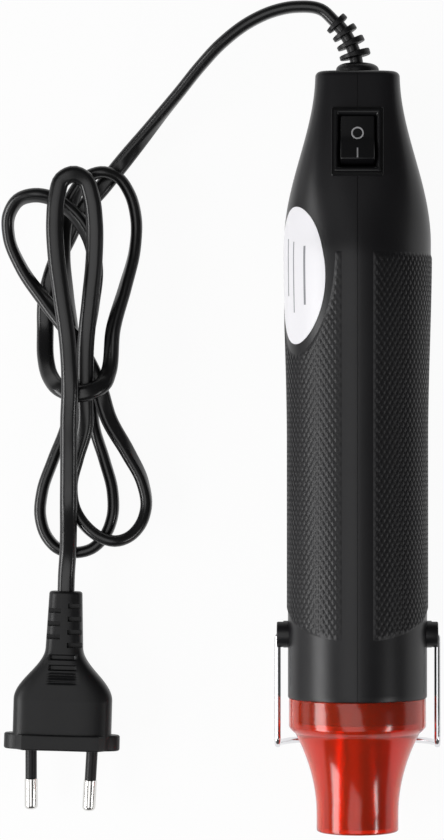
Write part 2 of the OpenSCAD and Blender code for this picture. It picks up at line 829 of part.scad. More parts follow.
module wire_stand() {
    // The foot reaches behind the tool, so that its bar lies on the table
    pin_bend_r = 1.3;
    foot_s = pivot_s + arm_len;
    bar_depth = axis_z - wire_r;
    side_len = bar_depth - foot_bend_r - arm_bend_r;
    half_bar = arm_x - foot_bend_r;
    color("#c9ccd1") tool() {
        for (side = [0, 1]) mirror([side, 0, 0]) {
            translate([pin_root_x, 0, pivot_s]) rotate([0, 90, 0]) wire_run(arm_x - pin_bend_r - pin_root_x);
            translate([arm_x - pin_bend_r, 0, pivot_s + pin_bend_r]) rotate([-90, 0, 0])
                wire_bend(pin_bend_r);
            translate([arm_x, 0, pivot_s + pin_bend_r]) wire_run(arm_len - pin_bend_r - arm_bend_r);
            translate([arm_x, -arm_bend_r, foot_s - arm_bend_r]) rotate([0, -90, 0]) wire_bend(arm_bend_r);
            translate([arm_x, -arm_bend_r, foot_s]) rotate([90, 0, 0]) wire_run(side_len);
            translate([half_bar, foot_bend_r - bar_depth, foot_s]) rotate([180, 0, 0])
                wire_bend(foot_bend_r);
        }
        translate([-half_bar, -bar_depth, foot_s]) rotate([0, 90, 0]) wire_run(2 * half_bar);
    }
}

// The plug lies beside the tool: y runs from its pin face toward the cord
plug_x = -90.2;
plug_y = -90.6;
plug_yaw = -1.6;
throat_w = 12.5;
throat_len = 16;
boot_w = 10;
boot_h = 7.4;
plug_h = 11.8;
pin_r = pin_d / 2;
pin_core_r = 1.35;
sleeve_r = sleeve_d / 2;
pin_root = 7;
pin_round = 1.2;
sleeve_root = 3;

module at_plug() {
    translate([plug_x, plug_y, flange_h / 2]) rotate([0, 0, plug_yaw]) children();
}
function plug_point(v) = [plug_x - v * sin(plug_yaw), plug_y + v * cos(plug_yaw), flange_h / 2];

// Width and height of the plug at the distance v from its pin face
function boot_share(v) = min(max((v - plug_straight) / (plug_len - plug_straight), 0), 1);
function plug_width(v) = let (throat = throat_w + (boot_w - throat_w) * boot_share(v))
    throat + (plug_w - throat) * (1 - ease((v - plug_straight) / throat_len));
function plug_height(v) = plug_h + (boot_h - plug_h) * boot_share(v);
function plug_ring(v) = let (p = 2 / (4 - 1.6 * boot_share(v))) [
        for (a = [75:-15:-270])
            [
                plug_width(v) / 2 * sign(cos(a)) * pow(abs(cos(a)), p),
                plug_height(v) / 2 * sign(sin(a)) * pow(abs(sin(a)), p),
                v
            ]
    ];

module flange_plate() {
    // Elongated hexagon with rounded ends, the outline of the common two-pin plug
    flat = 0.33 * flange_w;
    end_h = 2.4;
    rotate([-90, 0, 0]) linear_extrude(flange_t) {
        polygon([
            [-flat, -flange_h / 2], [flat, -flange_h / 2], [flange_w / 2 - end_h, -end_h - 0.8],
            [flange_w / 2 - end_h, end_h + 0.8], [flat, flange_h / 2], [-flat, flange_h / 2],
            [end_h - flange_w / 2, end_h + 0.8], [end_h - flange_w / 2, -end_h - 0.8]
        ]);
        for (x = [-1, 1])
            translate([x * (flange_w / 2 - end_h - 0.8), 0]) circle(r = end_h + 0.8);
    }
}

module plug_body() {
    // Slots in the boot, finger recesses and ribs, at their distances from the pin face
    slot_w = 1.5;
    slot_pitch = 3.96;
    slot_inset = 1.1;
    slot_floor = 2;
    right_slots = [31.25:slot_pitch:44];
    left_slots = [33.75:slot_pitch:43];
    recess_w = 8.2;
    recesses = [25.1, 28.3];
    recess_len = 1.8;
    ribs_w = 8.7;
    first_rib = 20.2;
    rib_pitch = 0.75;
    groove_w = 0.35;
    ring_steps = [flange_t - eps, plug_straight, 17, 19, 21.5, 24, 26.5, 29, 31.5, 36, 42, plug_len];
    color("#1c1c1f") at_plug() difference() {
        union() {
            flange_plate();
            rotate([-90, 0, 0]) loft([for (v = ring_steps) plug_ring(v)]);
        }
        for (side = [-1, 1]) at_pin(side) {
            translate([0, 0, -pin_root]) cylinder(r = pin_core_r + skin_gap, h = pin_root + 1);
            translate([0, 0, -sleeve_root]) cylinder(r = sleeve_r + skin_gap, h = sleeve_root + 1);
        }
        // Finger recesses and ribs on both faces
        for (z = [-1, 1], v = recesses)
            translate([-recess_w / 2, v - recess_len / 2, z * 5.3 - 1]) cube([recess_w, recess_len, 2]);
        for (z = [-1, 1], i = [0:4])
            translate([-ribs_w / 2, first_rib + rib_pitch * i, z * 6 - 0.8]) cube([ribs_w, groove_w, 1.6]);
        // Slots over and under the cord that let the boot bend, staggered from side to side
        for (z = [slot_floor, -slot_floor - boot_h], v = right_slots)
            translate([slot_inset, v, z]) cube([boot_w, slot_w, boot_h]);
        for (z = [slot_floor, -slot_floor - boot_h], v = left_slots)
            translate([-slot_inset - boot_w, v, z]) cube([boot_w, slot_w, boot_h]);
    }
}

// One pin's axis: z runs out of the plug's face, leaning toward the other pin
module at_pin(side) {
    translate([side * pin_pitch / 2, 0, 0]) rotate([0, 0, -side * pin_lean]) rotate([90, 0, 0]) children();
}

module pin_sleeves() {
    color("#151517") at_plug() for (side = [-1, 1]) at_pin(side)
        translate([0, 0, skin_gap - sleeve_root])
            ring(sleeve_r, pin_core_r + skin_gap, sleeve_root + sleeve_len - 2 * skin_gap);
}

module plug_pins() {
    color("#c7c8cb") at_plug() for (side = [-1, 1]) at_pin(side)
        rotate_extrude() polygon(concat(
            [[0, skin_gap - pin_root], [pin_core_r, skin_gap - pin_root]],
            [[pin_core_r, sleeve_len], [pin_r, sleeve_len]],
            [for (a = [0:30:90]) [pin_r - pin_round * (1 - cos(a)), pin_len - pin_round * (1 - sin(a))]],
            [[0, pin_len]]
        ));
}

// The cord's route: x, y, z and the turn of its flat side, where 0 lies flat and 90 stands on edge.
// It leaves the boot, bends over and drops to the table behind the hank.
exit_point = [
    -boot_bend_r * (1 - cos(boot_angle)), tool_len / 2 + boot_bend_r * sin(boot_angle), axis_z
];
exit_way = [-sin(boot_angle), cos(boot_angle), 0];
lead_start = [
    each [for (d = [0, 5]) [each exit_point + d * exit_way, 90]],
    [-18.5, 133.9, 21.5, 90], [-25, 132.8, 20.5, 90], [-32, 129.9, 19, 90], [-41, 123.6, 16, 90],
    [-48, 116.6, 12.5, 90], [-54, 109.6, 9.5, 90], [-60, 102.7, 6.8, 80], [-65, 96.8, 4.6, 60],
    [-70, 90.9, 3, 30], [-74.5, 85.5, 2, 0], [-79, 80, 2, 0]
];
// It runs down behind the hank and wraps over its waist
wrap_run = [
    [-84, 74.5, 2, 0], [-88.7, 65.5, 2, 0], [-93, 56.3, 2, 0], [-95.4, 46.5, 2, 0], [-95.6, 37, 2.4, 0],
    [-95.2, 29, 5.6, 0], [-93, 22.5, 11.4, 0], [-89.4, 19, 16.2, 0], [-85, 17.6, 17.2, 0],
    [-80.5, 18.4, 17, 0], [-77, 20.6, 15, 10]
];
// Each lobe of the hank goes out from the waist and back: where it starts, ends and turns, its half width
// (positive where it starts on the right), its fold's power (1 is an ellipse's end, less is rounder), then
// its height and its turn at each of lobe_keys
lobe_keys = [0, 45, 90, 135, 160, 180];
lobes = [
    [[-75.6, 24], [-87.4, 19], [-77.5, 85.3], 16.6, 0.85,
        [12, 3.6, 7.8, 6.7, 2.9, 2.8], [30, 90, 90, 30, 80, 90]],
    [[-87.4, 19], [-81.4, 19], [-86.5, -30.8], -17.4, 0.8,
        [for (k = lobe_keys) 2.8], [for (k = lobe_keys) 90]],
    [[-81.4, 19], [-79, 20.6], [-97.5, 77.8], 21, 0.85,
        [2.8, 10.3, 13.9, 8, 8.5, 8.6], [90, 45, 60, 90, 45, 0]],
    [[-79, 20.6], [-82.6, 17.5], [-73.8, -27.1], 19, 1,
        [8.6, 4, 8.8, 9, 11, 12.6], [0, 90, 90, 70, 20, 0]],
    [[-82.6, 17.5], [-86.4, 19.2], [-85.6, 83.9], 8.4, 0.6,
        [12.6, 15.2, 18, 19, 20.6, 21.6], [for (k = lobe_keys) 0]]
];
lobe_steps = 14;
function over_lobe(u, values) = lookup(u, [for (i = [0:len(lobe_keys) - 1]) [lobe_keys[i], values[i]]]);
function lobe_point(b, u) = let (
        out = sin(u),
        waist = (b[0] + b[1]) / 2 + (b[0] - b[1]) / 2 * cos(u),
        middle = waist * (1 - out) + b[2] * out,
        swing = b[3] * sign(cos(u)) * pow(abs(cos(u)), b[4])
    ) [
        middle[0] + swing * ease(out), middle[1], over_lobe(u, b[5]), over_lobe(u, b[6])
    ];
lobe_run = [
    for (b = lobes, i = [0:lobe_steps - 1]) lobe_point(b, 180 * i / lobe_steps)
];
// The tail lies over the hank and drops into the plug's boot
tail_run = [
    [-86.4, 19.2, 21.6, 0], [-86.9, 10, 19.8, 0], [-87.1, 1, 17.6, 0], [-87.3, -8, 15.8, 0],
    [-87.5, -17, 14.1, 0], [-87.8, -25, 10.6, 0], [-88.2, -31, 8, 0],
    each [for (d = [5, 0]) [each plug_point(plug_len + d), 0]]
];
route = concat(lead_start, wrap_run, lobe_run, tail_run);
lead_end = len(lead_start) - 1;
hank_end = len(route) - len(tail_run);

function place(i) = [route[i][0], route[i][1], route[i][2]];
function unit(v) = v / norm(v);
function heading(i) = unit(place(min(i + 1, len(route) - 1)) - place(max(i - 1, 0)));
// Directions of the cord's wide and thin sides at the point i
function cord_sides(i) = let (
        t = heading(i),
        s = unit([t[1], -t[0], 0]),
        u = cross(s, t),
        roll = route[i][3]
    ) [s * cos(roll) + u * sin(roll), u * cos(roll) - s * sin(roll)];
function cord_ring(i, sides) = let (d = cord_sides(i)) [
        for (k = [0:sides - 1])
            place(i) + d[0] * cord_w / 2 * cos(360 * k / sides) + d[1] * cord_t / 2 * sin(360 * k / sides)
    ];

// Least gap of the cord to itself, measured between points along the route that are over 20 mm of cord apart
samples = [
    for (i = [0:len(route) - 2], f = [0, 0.33, 0.67])
        [place(i) * (1 - f) + place(i + 1) * f, cord_sides(i)]
];
function reach(sides, d) = norm([sides[0] * d * cord_w / 2, sides[1] * d * cord_t / 2]);
function gap_between(a, b) = let (v = b[0] - a[0], n = norm(v), d = v / n)
    n - reach(a[1], d) - reach(b[1], d);
union() {  // cord_hank
    gaps = [
        for (i = [0:len(samples) - 1], j = [i + 12:1:len(samples) - 1])
            if (norm(samples[j][0] - samples[i][0]) < 2 * cord_w)
                [gap_between(samples[i], samples[j]), i / 3, j / 3]
    ];
    least = min([for (g = gaps) g[0]]);
    echo(least_cord_gap = least, at = [for (g = gaps) if (g[0] < 0.5) g]);
    echo(cord_length = len_of(len(route) - 1));
}
function len_of(i) = i == 0 ? 0 : norm(place(i) - place(i - 1)) + len_of(i - 1);

module cord_lead() {
    color("#1a1a1c") loft([for (i = [0:lead_end]) cord_ring(i, 8)]);
}

module cord_hank() {
    color("#1a1a1c") loft([for (i = [lead_end:hank_end]) cord_ring(i, 6)]);
}

module cord_tail() {
    color("#1a1a1c") loft([for (i = [hank_end:len(route) - 1]) cord_ring(i, 8)]);
}

left_shell();
right_shell();
housing_screws();
strain_relief();
cord_clamp();
clamp_screws();
switch_frame();
rocker();
switch_terminals();
mains_leads();
rectifier_board();
diodes();
motor_cradle();
motor_can();
motor_end_cap();
motor_bearings();
motor_magnets();
armature();
motor_shaft();
impeller();
heat_tube();
heat_tube_flange();
mica_liner();
mica_cards();
heater_coil();
thermal_cutout();
nozzle_guard();
rating_label();
wire_stand();
cord_lead();
cord_hank();
cord_tail();
plug_body();
pin_sleeves();
plug_pins();
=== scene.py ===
import json

import bmesh
import bpy
import numpy as np
from bpy.props import FloatProperty, FloatVectorProperty, IntProperty, PointerProperty
from bpy.types import Operator, Panel, PropertyGroup
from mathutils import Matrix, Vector


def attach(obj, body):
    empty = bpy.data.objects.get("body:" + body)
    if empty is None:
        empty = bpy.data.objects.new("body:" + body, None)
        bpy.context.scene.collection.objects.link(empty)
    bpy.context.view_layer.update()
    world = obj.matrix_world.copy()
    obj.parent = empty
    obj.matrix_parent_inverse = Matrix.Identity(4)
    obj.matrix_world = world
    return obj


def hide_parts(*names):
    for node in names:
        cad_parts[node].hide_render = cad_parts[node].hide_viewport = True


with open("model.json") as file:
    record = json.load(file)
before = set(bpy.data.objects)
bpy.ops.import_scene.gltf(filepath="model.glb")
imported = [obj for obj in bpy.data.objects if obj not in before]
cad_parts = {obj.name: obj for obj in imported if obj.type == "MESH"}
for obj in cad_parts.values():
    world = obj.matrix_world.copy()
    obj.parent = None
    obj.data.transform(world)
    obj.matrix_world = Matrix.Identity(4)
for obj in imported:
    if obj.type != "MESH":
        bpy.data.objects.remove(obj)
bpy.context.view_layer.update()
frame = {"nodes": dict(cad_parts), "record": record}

bl_info = {
    "name": "Embossing heat tool",
    "version": (1, 0, 0),
    "blender": (4, 5, 0),
    "location": "View3D > Sidebar > Heat tool",
    "description": "Builds the looks of an embossing heat tool over its packed construction",
    "category": "Object",
}

MM = 0.001
# The two sides and the sign of x on each
SIDES = {"left": -1, "right": 1}

# Sizes in millimetres, as in the construction's source. Only the housing's end lies 0.9 lower, and its
# spigot is as much shorter
TOOL_LEN = 227.3
HOUSING_LEN = 187.2
AXIS_Z = 22.05
HEAD_HALF = 12.65
HEAD_FRONT = 12.0
FACE_TILT = np.radians(10.6)
FACE_SLOPE = np.tan(FACE_TILT)
HEAD_LEN = 51.0
HEAD_ROUND = 1.4
BULGE_R = 22.05
GRIP_R = 20.9
TAPER_LEN = 60.0
HEAD_POWER = 5.0
WALL = 2.2
END_WALL = 2.6
CORD_HOLE_R = 4.15
SPIGOT_R = 18.95
BORE_R = 17.15
SPIGOT_LEN = 7.1
SPIGOT_REACH_IN = 5.9
SWITCH_S = 21.6
ROCKER_TILT = np.radians(10)
BEND_R = 21.5
BEND_ANGLE = 47.0
PIVOT_S = 168.2
ARM_X = 24.0
LABEL_S = 61.0
LABEL_TURN = np.radians(58)
LABEL_HALF = (11.8, 20.4)
PLUG_PLACE = np.array([-90.2, -90.6, 6.85])
PLUG_YAW = np.radians(-1.6)
PLUG_LEN = 48.2
PLUG_STRAIGHT = 15.0
PIN_LEN = 18.5
SLEEVE_END = 9.2


# Sizes and colours that a user would change

def length(name, description, default, low, high):
    """A length in metres with its name, description and range."""
    return FloatProperty(
        name=name, description=description, default=default, min=low, max=high,
        precision=4, subtype="DISTANCE", unit="LENGTH",
    )


def colour(name, description, default):
    """A linear colour with its name and description."""
    return FloatVectorProperty(
        name=name, description=description, default=default, size=3, min=0, max=1, subtype="COLOR",
    )


class GripSizes(PropertyGroup):
    """Sizes of the moulded grip."""
    diamond_width: length("Diamond width", "Width of a knurl diamond round the grip", 0.0018, 0.001, 0.004)
    diamond_length: length("Diamond length", "Length of a knurl diamond", 0.0029, 0.001, 0.006)
    diamond_height: length("Diamond height", "Height of the knurl over its grooves", 0.0003, 0.0001, 0.0008)
    band_half: length("Band half width", "Half width of the smooth band on the seam", 0.0047, 0.003, 0.008)
    panel_reach: length("Panel reach", "How far each panel goes round from the seam", 0.044, 0.03, 0.05)
    seam_depth: length("Seam depth", "Depth of the line where the halves meet", 0.0007, 0, 0.0008)


class CordSizes(PropertyGroup):
    """Sizes of the flat twin cord."""
    width: length("Cord width", "Width of the flat cord", 0.0052, 0.004, 0.007)
    thickness: length("Cord thickness", "Thickness of the flat cord", 0.0036, 0.0025, 0.005)
    sides: IntProperty(name="Cord sides", description="Points round the cord", default=28, min=12, max=48)


class GuardSizes(PropertyGroup):
    """Sizes of the red nozzle guard."""
    wall: length("Guard wall", "Wall of the guard", 0.0015, 0.001, 0.0018)
    lip: length("Lip round", "Rounding of the nozzle's mouth", 0.0006, 0.0002, 0.0007)


class SignSizes(PropertyGroup):
    """Sizes of the rocker's painted signs."""
    ring: length("Ring diameter", "Diameter of the off sign", 0.0037, 0.002, 0.005)
    bar: length("Bar length", "Length of the on sign", 0.0034, 0.002, 0.005)
    stroke: length("Stroke", "Width of the painted lines", 0.00042, 0.0003, 0.001)


class Finishes(PropertyGroup):
    """Colours of the finishes."""
    housing: colour("Housing", "Satin black moulding", (0.0064, 0.0061, 0.0073))
    gloss: colour("Switch", "Smooth black moulding", (0.0052, 0.0052, 0.0058))
    rubber: colour("Rubber", "Soft black moulding of boot and plug", (0.0050, 0.0050, 0.0056))
    jacket: colour("Cord jacket", "Semi-gloss black jacket", (0.0045, 0.0045, 0.0050))
    guard: colour("Guard", "Clear red moulding", (0.92, 0.07, 0.009))
    paper: colour("Label", "White label stock", (0.86, 0.85, 0.88))
    print_grey: colour("Label rules", "Printed grey rules", (0.25, 0.25, 0.27))
    sign: colour("Signs", "Pale paint of the signs", (0.36, 0.36, 0.37))
    plating: colour("Plating", "Bright plated wire", (0.78, 0.78, 0.80))
    pins: colour("Pins", "Bright nickel", (0.72, 0.71, 0.69))


# Making meshes

def finish_mesh(mesh, sharp=35):
    """Shades a mesh smooth, with the edges that turn more than the given angle kept sharp."""
    mesh.shade_smooth()
    mesh.set_sharp_from_angle(angle=np.radians(sharp))


def volume_of(points, faces):
    """Signed volume of a closed mesh: the sum of the tetrahedra from the origin over its fanned faces."""
    total = 0.0
    for face in (f for f in faces if len(f) > 2):
        p = points[np.asarray(face)]
        total += np.einsum("ij,ij->", np.cross(p[1:-1], p[2:]), np.broadcast_to(p[0], p[1:-1].shape))
    return total / 6


def put(name, data):
    """A new object of that data in the scene."""
    made = bpy.data.objects.new(name, data)
    bpy.context.scene.collection.objects.link(made)
    return made


def make_piece(name, shape, look, stands_for=(), body="tool", sharp=35):
    """A piece from a pair of points in millimetres and faces, turned to face outwards, on its body."""
    material, slot = dress(look)
    points, faces = shape
    points = np.asarray(points, float) * MM
    centre = points.mean(0)
    if volume_of(points - centre, faces) < 0:
        faces = [tuple(f)[::-1] for f in faces]
    mesh = bpy.data.meshes.new(name)
    mesh.from_pydata(points.tolist(), [], [tuple(int(i) for i in f) for f in faces])
    mesh.validate()
    mesh.materials.append(material)
    finish_mesh(mesh, sharp)
    piece = put(name, mesh)
    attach(piece, body)
    if stands_for:
        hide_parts(*stands_for)
    return piece


def stack(x, y, z):
    """Points from three arrays of coordinates, stretched to one shape."""
    return np.stack(np.broadcast_arrays(x, y, z), -1)


def circle(sides):
    """Angles of a full turn in even steps."""
    return 2 * np.pi * np.arange(sides) / sides


def quarter(step=15):
    """Angles of a quarter turn, in steps of so many degrees."""
    return np.radians(np.arange(0, 91, step))


def squared(turn, wide, high, power):
    """Radius of a squared ellipse in the direction turn: (|cos/wide|^n + |sin/high|^n)^(-1/n)."""
    return (np.abs(np.cos(turn) / wide) ** power + np.abs(np.sin(turn) / high) ** power) ** (-1 / power)


def grid_faces(rows, columns, closed):
    """Quads between neighbouring rows and columns of a grid, joined round where closed."""
    r = np.arange(rows - 1)[:, None]
    c = np.arange(columns if closed else columns - 1)[None, :]
    d = (c + 1) % columns
    corners = r * columns + c, r * columns + d, (r + 1) * columns + d, (r + 1) * columns + c
    return np.stack(np.broadcast_arrays(*corners), -1).reshape(-1, 4)


def tube(grid):
    """A closed skin over rings of points, grid[ring, point], with a flat cap on each end ring."""
    rows, columns = grid.shape[:2]
    faces = grid_faces(rows, columns, True).tolist()
    faces.append(list(range(columns))[::-1])
    faces.append([(rows - 1) * columns + i for i in range(columns)])
    return grid.reshape(-1, 3), faces


def loop_tube(grid):
    """A closed ring-shaped skin, grid[ring, point], whose last ring joins its first."""
    rows, columns = grid.shape[:2]
    faces = grid_faces(rows + 1, columns, True) % (rows * columns)
    return grid.reshape(-1, 3), faces.tolist()


def sheet_pair(top, under):
    """A closed plate between two grids of the same size, joined along their four edges."""
    rows, columns = top.shape[:2]
    n = rows * columns
    quads = grid_faces(rows, columns, False)
    index = np.arange(n).reshape(rows, columns)
    rim = np.concatenate([index[0], index[1:, -1], index[-1, -2::-1], index[-2:0:-1, 0]])
    after = np.roll(rim, -1)
    edge = np.stack([rim, after, after + n, rim + n], -1)[:, ::-1]
    faces = quads.tolist() + (quads[:, ::-1] + n).tolist() + edge.tolist()
    return np.concatenate([top.reshape(-1, 3), under.reshape(-1, 3)]), faces


def joined(parts):
    """Several (points, faces) pairs as one, with the indices of each moved past those before it."""
    points, faces, start = [], [], 0
    for p, f in parts:
        points.append(np.asarray(p))
        faces += [[i + start for i in face] for face in f]
        start += len(p)
    return np.concatenate(points), faces


def box_mesh(low, high):
    """A box between two corners, as points and faces."""
    xs, ys, zs = zip(low, high)
    corners = np.array([[x, y, z] for z in zs for y in ys for x in xs])
    return corners, [[0, 2, 3, 1], [4, 5, 7, 6], [0, 1, 5, 4], [2, 6, 7, 3], [0, 4, 6, 2], [1, 3, 7, 5]]


def rod_mesh(centre, axis, radius, reach, sides=32):
    """A straight rod about one of the three axes: a circle of points at each end of its reach."""
    turn = circle(sides)
    ends = []
    for end in reach:
        ring = np.zeros((sides, 3))
        ring[:, axis] = end
        ring[:, (axis + 1) % 3] = radius * np.cos(turn)
        ring[:, (axis + 2) % 3] = radius * np.sin(turn)
        ends.append(ring + np.asarray(centre))
    return tube(np.array(ends))


def carve(piece, cutters):
    """Cuts closed (points, faces) pairs, in the piece's own millimetres, out of a piece."""
    points, faces = joined(cutters)
    mesh = bpy.data.meshes.new("cutter")
    mesh.from_pydata((points * MM).tolist(), [], faces)
    mesh.validate()
    tool = put("cutter", mesh)
    work = bmesh.new()
    work.from_mesh(mesh)
    bmesh.ops.recalc_face_normals(work, faces=work.faces)
    work.to_mesh(mesh)
    work.free()
    cut = piece.modifiers.new("cut", "BOOLEAN")
    cut.operation = "DIFFERENCE"
    cut.solver = "EXACT"
    cut.object = tool
    bpy.context.view_layer.update()
    done = bpy.data.meshes.new_from_object(piece.evaluated_get(bpy.context.evaluated_depsgraph_get()))
    piece.modifiers.clear()
    old = piece.data
    piece.data = done
    done.name = piece.name
    finish_mesh(done)
    bpy.data.objects.remove(tool)
    bpy.data.meshes.remove(mesh)
    bpy.data.meshes.remove(old)


# Places

def in_tool(x, rise, s):
    """The tool's own axes (right, toward the switch, from the cord end) put into the frame."""
    return stack(x, TOOL_LEN / 2 - np.asarray(s), AXIS_Z + np.asarray(rise))


def on_switch(points):
    """Points of the switch's frame (right, toward the cord, out of the face) put into the frame."""
    x, y, z = np.moveaxis(np.asarray(points, float), -1, 0)
    c, k = np.cos(FACE_TILT), np.sin(FACE_TILT)
    place = np.array([0, TOOL_LEN / 2 - SWITCH_S, AXIS_Z + HEAD_FRONT + SWITCH_S * FACE_SLOPE])
    return stack(x, y * c + z * k, z * c - y * k) + place


def on_plug(points):
    """Points of the plug's frame (right, from the pin face toward the cord, up) put into the frame."""
    x, y, z = np.moveaxis(np.asarray(points, float), -1, 0)
    c, k = np.cos(PLUG_YAW), np.sin(PLUG_YAW)
    return stack(x * c - y * k, x * k + y * c, z) + PLUG_PLACE


def ease(u):
    """A smooth step from 0 to 1: the square of the sine of a quarter turn times u."""
    return np.sin(np.pi / 2 * np.clip(u, 0, 1)) ** 2


def half_width(s):
    """Half width of the housing at s: eased from the head to the bulge, then down to the grip."""
    head = HEAD_HALF + (BULGE_R - HEAD_HALF) * ease(s / HEAD_LEN)
    grip = BULGE_R + (GRIP_R - BULGE_R) * ease((s - HEAD_LEN) / TAPER_LEN)
    return np.where(s < HEAD_LEN, head, grip)


def front_rise(s):
    """Height of the front at s: the lesser of the sloped face and the half width, blended over 0.5 mm."""
    face = HEAD_FRONT + s * FACE_SLOPE
    full = np.where(s < HEAD_LEN, BULGE_R, half_width(s))
    return (face + full) / 2 - np.sqrt(((face - full) / 2) ** 2 + 0.06)


def skin(turn, s, lift=0.0):
    """The housing's outside in the direction turn, measured from the right toward the switch: a squared
    ellipse whose squareness eases from the head's value to 2, cut in front by the sloped face."""
    turn, s, lift = np.broadcast_arrays(turn, s, lift)
    n = 2 + (HEAD_POWER - 2) * (1 - ease(s / HEAD_LEN))
    w = half_width(s) + lift
    h = np.where(np.sin(turn) > 0, front_rise(s), half_width(s)) + lift
    r = squared(turn, w, h, n)
    return in_tool(r * np.cos(turn), r * np.sin(turn), s)


def turned(profile, sides=96):
    """A profile of radius and s turned about the tool's axis."""
    a = circle(sides)
    r, s = profile[:, :1], profile[:, 1:]
    return in_tool(r * np.cos(a), r * np.sin(a), s + 0 * a)


# Finishes, each from one of two shared groups

def feed(tree, socket, value):
    """Links a value into a socket, or sets it there where it is a number."""
    if isinstance(value, bpy.types.NodeSocket):
        tree.links.new(value, socket)
    else:
        socket.default_value = value


def math_node(tree, operation, *values, clamp=False):
    """A Math node with a link or a number on each input."""
    node = tree.nodes.new("ShaderNodeMath")
    node.operation = operation
    node.use_clamp = clamp
    for socket, value in zip(node.inputs, values):
        feed(tree, socket, value)
    return node.outputs[0]


def noise_node(tree, vector, scale, detail, roughness):
    """A noise texture's value, with a link or a number on each input."""
    node = tree.nodes.new("ShaderNodeTexNoise")
    values = {"Vector": vector, "Scale": scale, "Detail": detail, "Roughness": roughness}
    for label, value in values.items():
        feed(tree, node.inputs[label], value)
    return node.outputs["Fac"]


def group(name, inputs):
    """A shader group with the named inputs and their defaults, which puts out colour, roughness and height.
    It comes with its own inputs and with the piece's Object coordinates."""
    tree = bpy.data.node_groups.new(name, "ShaderNodeTree")
    for label, value in inputs.items():
        kind = "NodeSocketColor" if label == "Colour" else "NodeSocketFloat"
        socket = tree.interface.new_socket(name=label, in_out="INPUT", socket_type=kind)
        socket.default_value = (*value, 1) if label == "Colour" else value
    for label in ("Colour", "Roughness", "Height"):
        kind = "NodeSocketColor" if label == "Colour" else "NodeSocketFloat"
        tree.interface.new_socket(name=label, in_out="OUTPUT", socket_type=kind)
    place = tree.nodes.new("ShaderNodeTexCoord").outputs["Object"]
    return tree, tree.nodes.new("NodeGroupInput").outputs, place


def put_out(tree, colour, tint, rough, height):
    """Puts out a group's colour, scaled by the tint, its roughness and its height."""
    out = tree.nodes.new("NodeGroupOutput").inputs
    mix = tree.nodes.new("ShaderNodeVectorMath")
    mix.operation = "SCALE"
    tree.links.new(colour, mix.inputs[0])
    tree.links.new(tint, mix.inputs["Scale"])
    for socket, value in (("Colour", mix.outputs[0]), ("Roughness", rough), ("Height", height)):
        tree.links.new(value, out[socket])
    return tree


def grain_group():
    """Moulded grain: fine noise for the height, slow noise that drifts the colour and the gloss."""
    tree, given, place = group("Moulded grain", {
        "Colour": (0.02, 0.02, 0.02), "Grain scale": 2600.0, "Drift scale": 60.0, "Drift": 0.15,
        "Roughness": 0.45, "Gloss drift": 0.08,
    })
    fine = noise_node(tree, place, given["Grain scale"], 2.0, 0.55)
    slow = noise_node(tree, place, given["Drift scale"], 4.0, 0.6)
    centred = math_node(tree, "SUBTRACT", slow, 0.5)
    tint = math_node(tree, "ADD", math_node(tree, "MULTIPLY", centred, given["Drift"]), 1.0)
    gloss = math_node(tree, "MULTIPLY", centred, given["Gloss drift"])
    rough = math_node(tree, "ADD", gloss, given["Roughness"], clamp=True)
    return put_out(tree, given["Colour"], tint, rough, fine)


def rub_group():
    """Rubbed metal: noise drawn out along the tool for fine lines, and slow patches of handling."""
    tree, given, place = group("Rubbed metal", {
        "Colour": (0.7, 0.7, 0.7), "Line scale": 900.0, "Roughness": 0.15, "Patch": 0.12,
    })
    drawn = tree.nodes.new("ShaderNodeMapping")
    drawn.inputs["Scale"].default_value = (1, 0.06, 1)
    tree.links.new(place, drawn.inputs["Vector"])
    lines = noise_node(tree, drawn.outputs[0], given["Line scale"], 2.0, 0.6)
    patch = math_node(tree, "SUBTRACT", noise_node(tree, place, 140.0, 3.0, 0.6), 0.5)
    wear = math_node(tree, "MULTIPLY", patch, given["Patch"])
    rough = math_node(tree, "ADD", wear, given["Roughness"], clamp=True)
    tint = math_node(tree, "SUBTRACT", 1.0, math_node(tree, "ABSOLUTE", wear))
    return put_out(tree, given["Colour"], tint, rough, lines)


GROUPS = {}


def shared(effect):
    """The effect's group, built once."""
    if effect not in GROUPS:
        GROUPS[effect] = {"grain": grain_group, "rub": rub_group}[effect]()
    return GROUPS[effect]


def finish(name, effect, values, bump, reach, settings):
    """A material: one shared group feeds colour, roughness and bump of its Principled shader, and the
    other sockets are set as they are."""
    if name in bpy.data.materials:
        return bpy.data.materials[name]
    material = bpy.data.materials.new(name)
    material.use_nodes = True
    tree = material.node_tree
    shader = tree.nodes["Principled BSDF"].inputs
    node = tree.nodes.new("ShaderNodeGroup")
    node.node_tree = shared(effect)
    for socket, value in values.items():
        node.inputs[socket].default_value = (*value, 1) if socket == "Colour" else value
    relief = tree.nodes.new("ShaderNodeBump")
    relief.inputs["Strength"].default_value = bump
    relief.inputs["Distance"].default_value = reach
    tree.links.new(node.outputs["Height"], relief.inputs["Height"])
    tree.links.new(node.outputs["Colour"], shader["Base Color"])
    tree.links.new(node.outputs["Roughness"], shader["Roughness"])
    tree.links.new(relief.outputs["Normal"], shader["Normal"])
    for socket, value in settings.items():
        shader[socket].default_value = value
    return material


# What the values of a look are, by its effect, and how far in metres its bump reaches
EFFECTS = {
    "grain": (("Grain scale", "Drift", "Roughness", "Gloss drift"), 0.00006),
    "rub": (("Line scale", "Roughness", "Patch"), 0.00003),
}
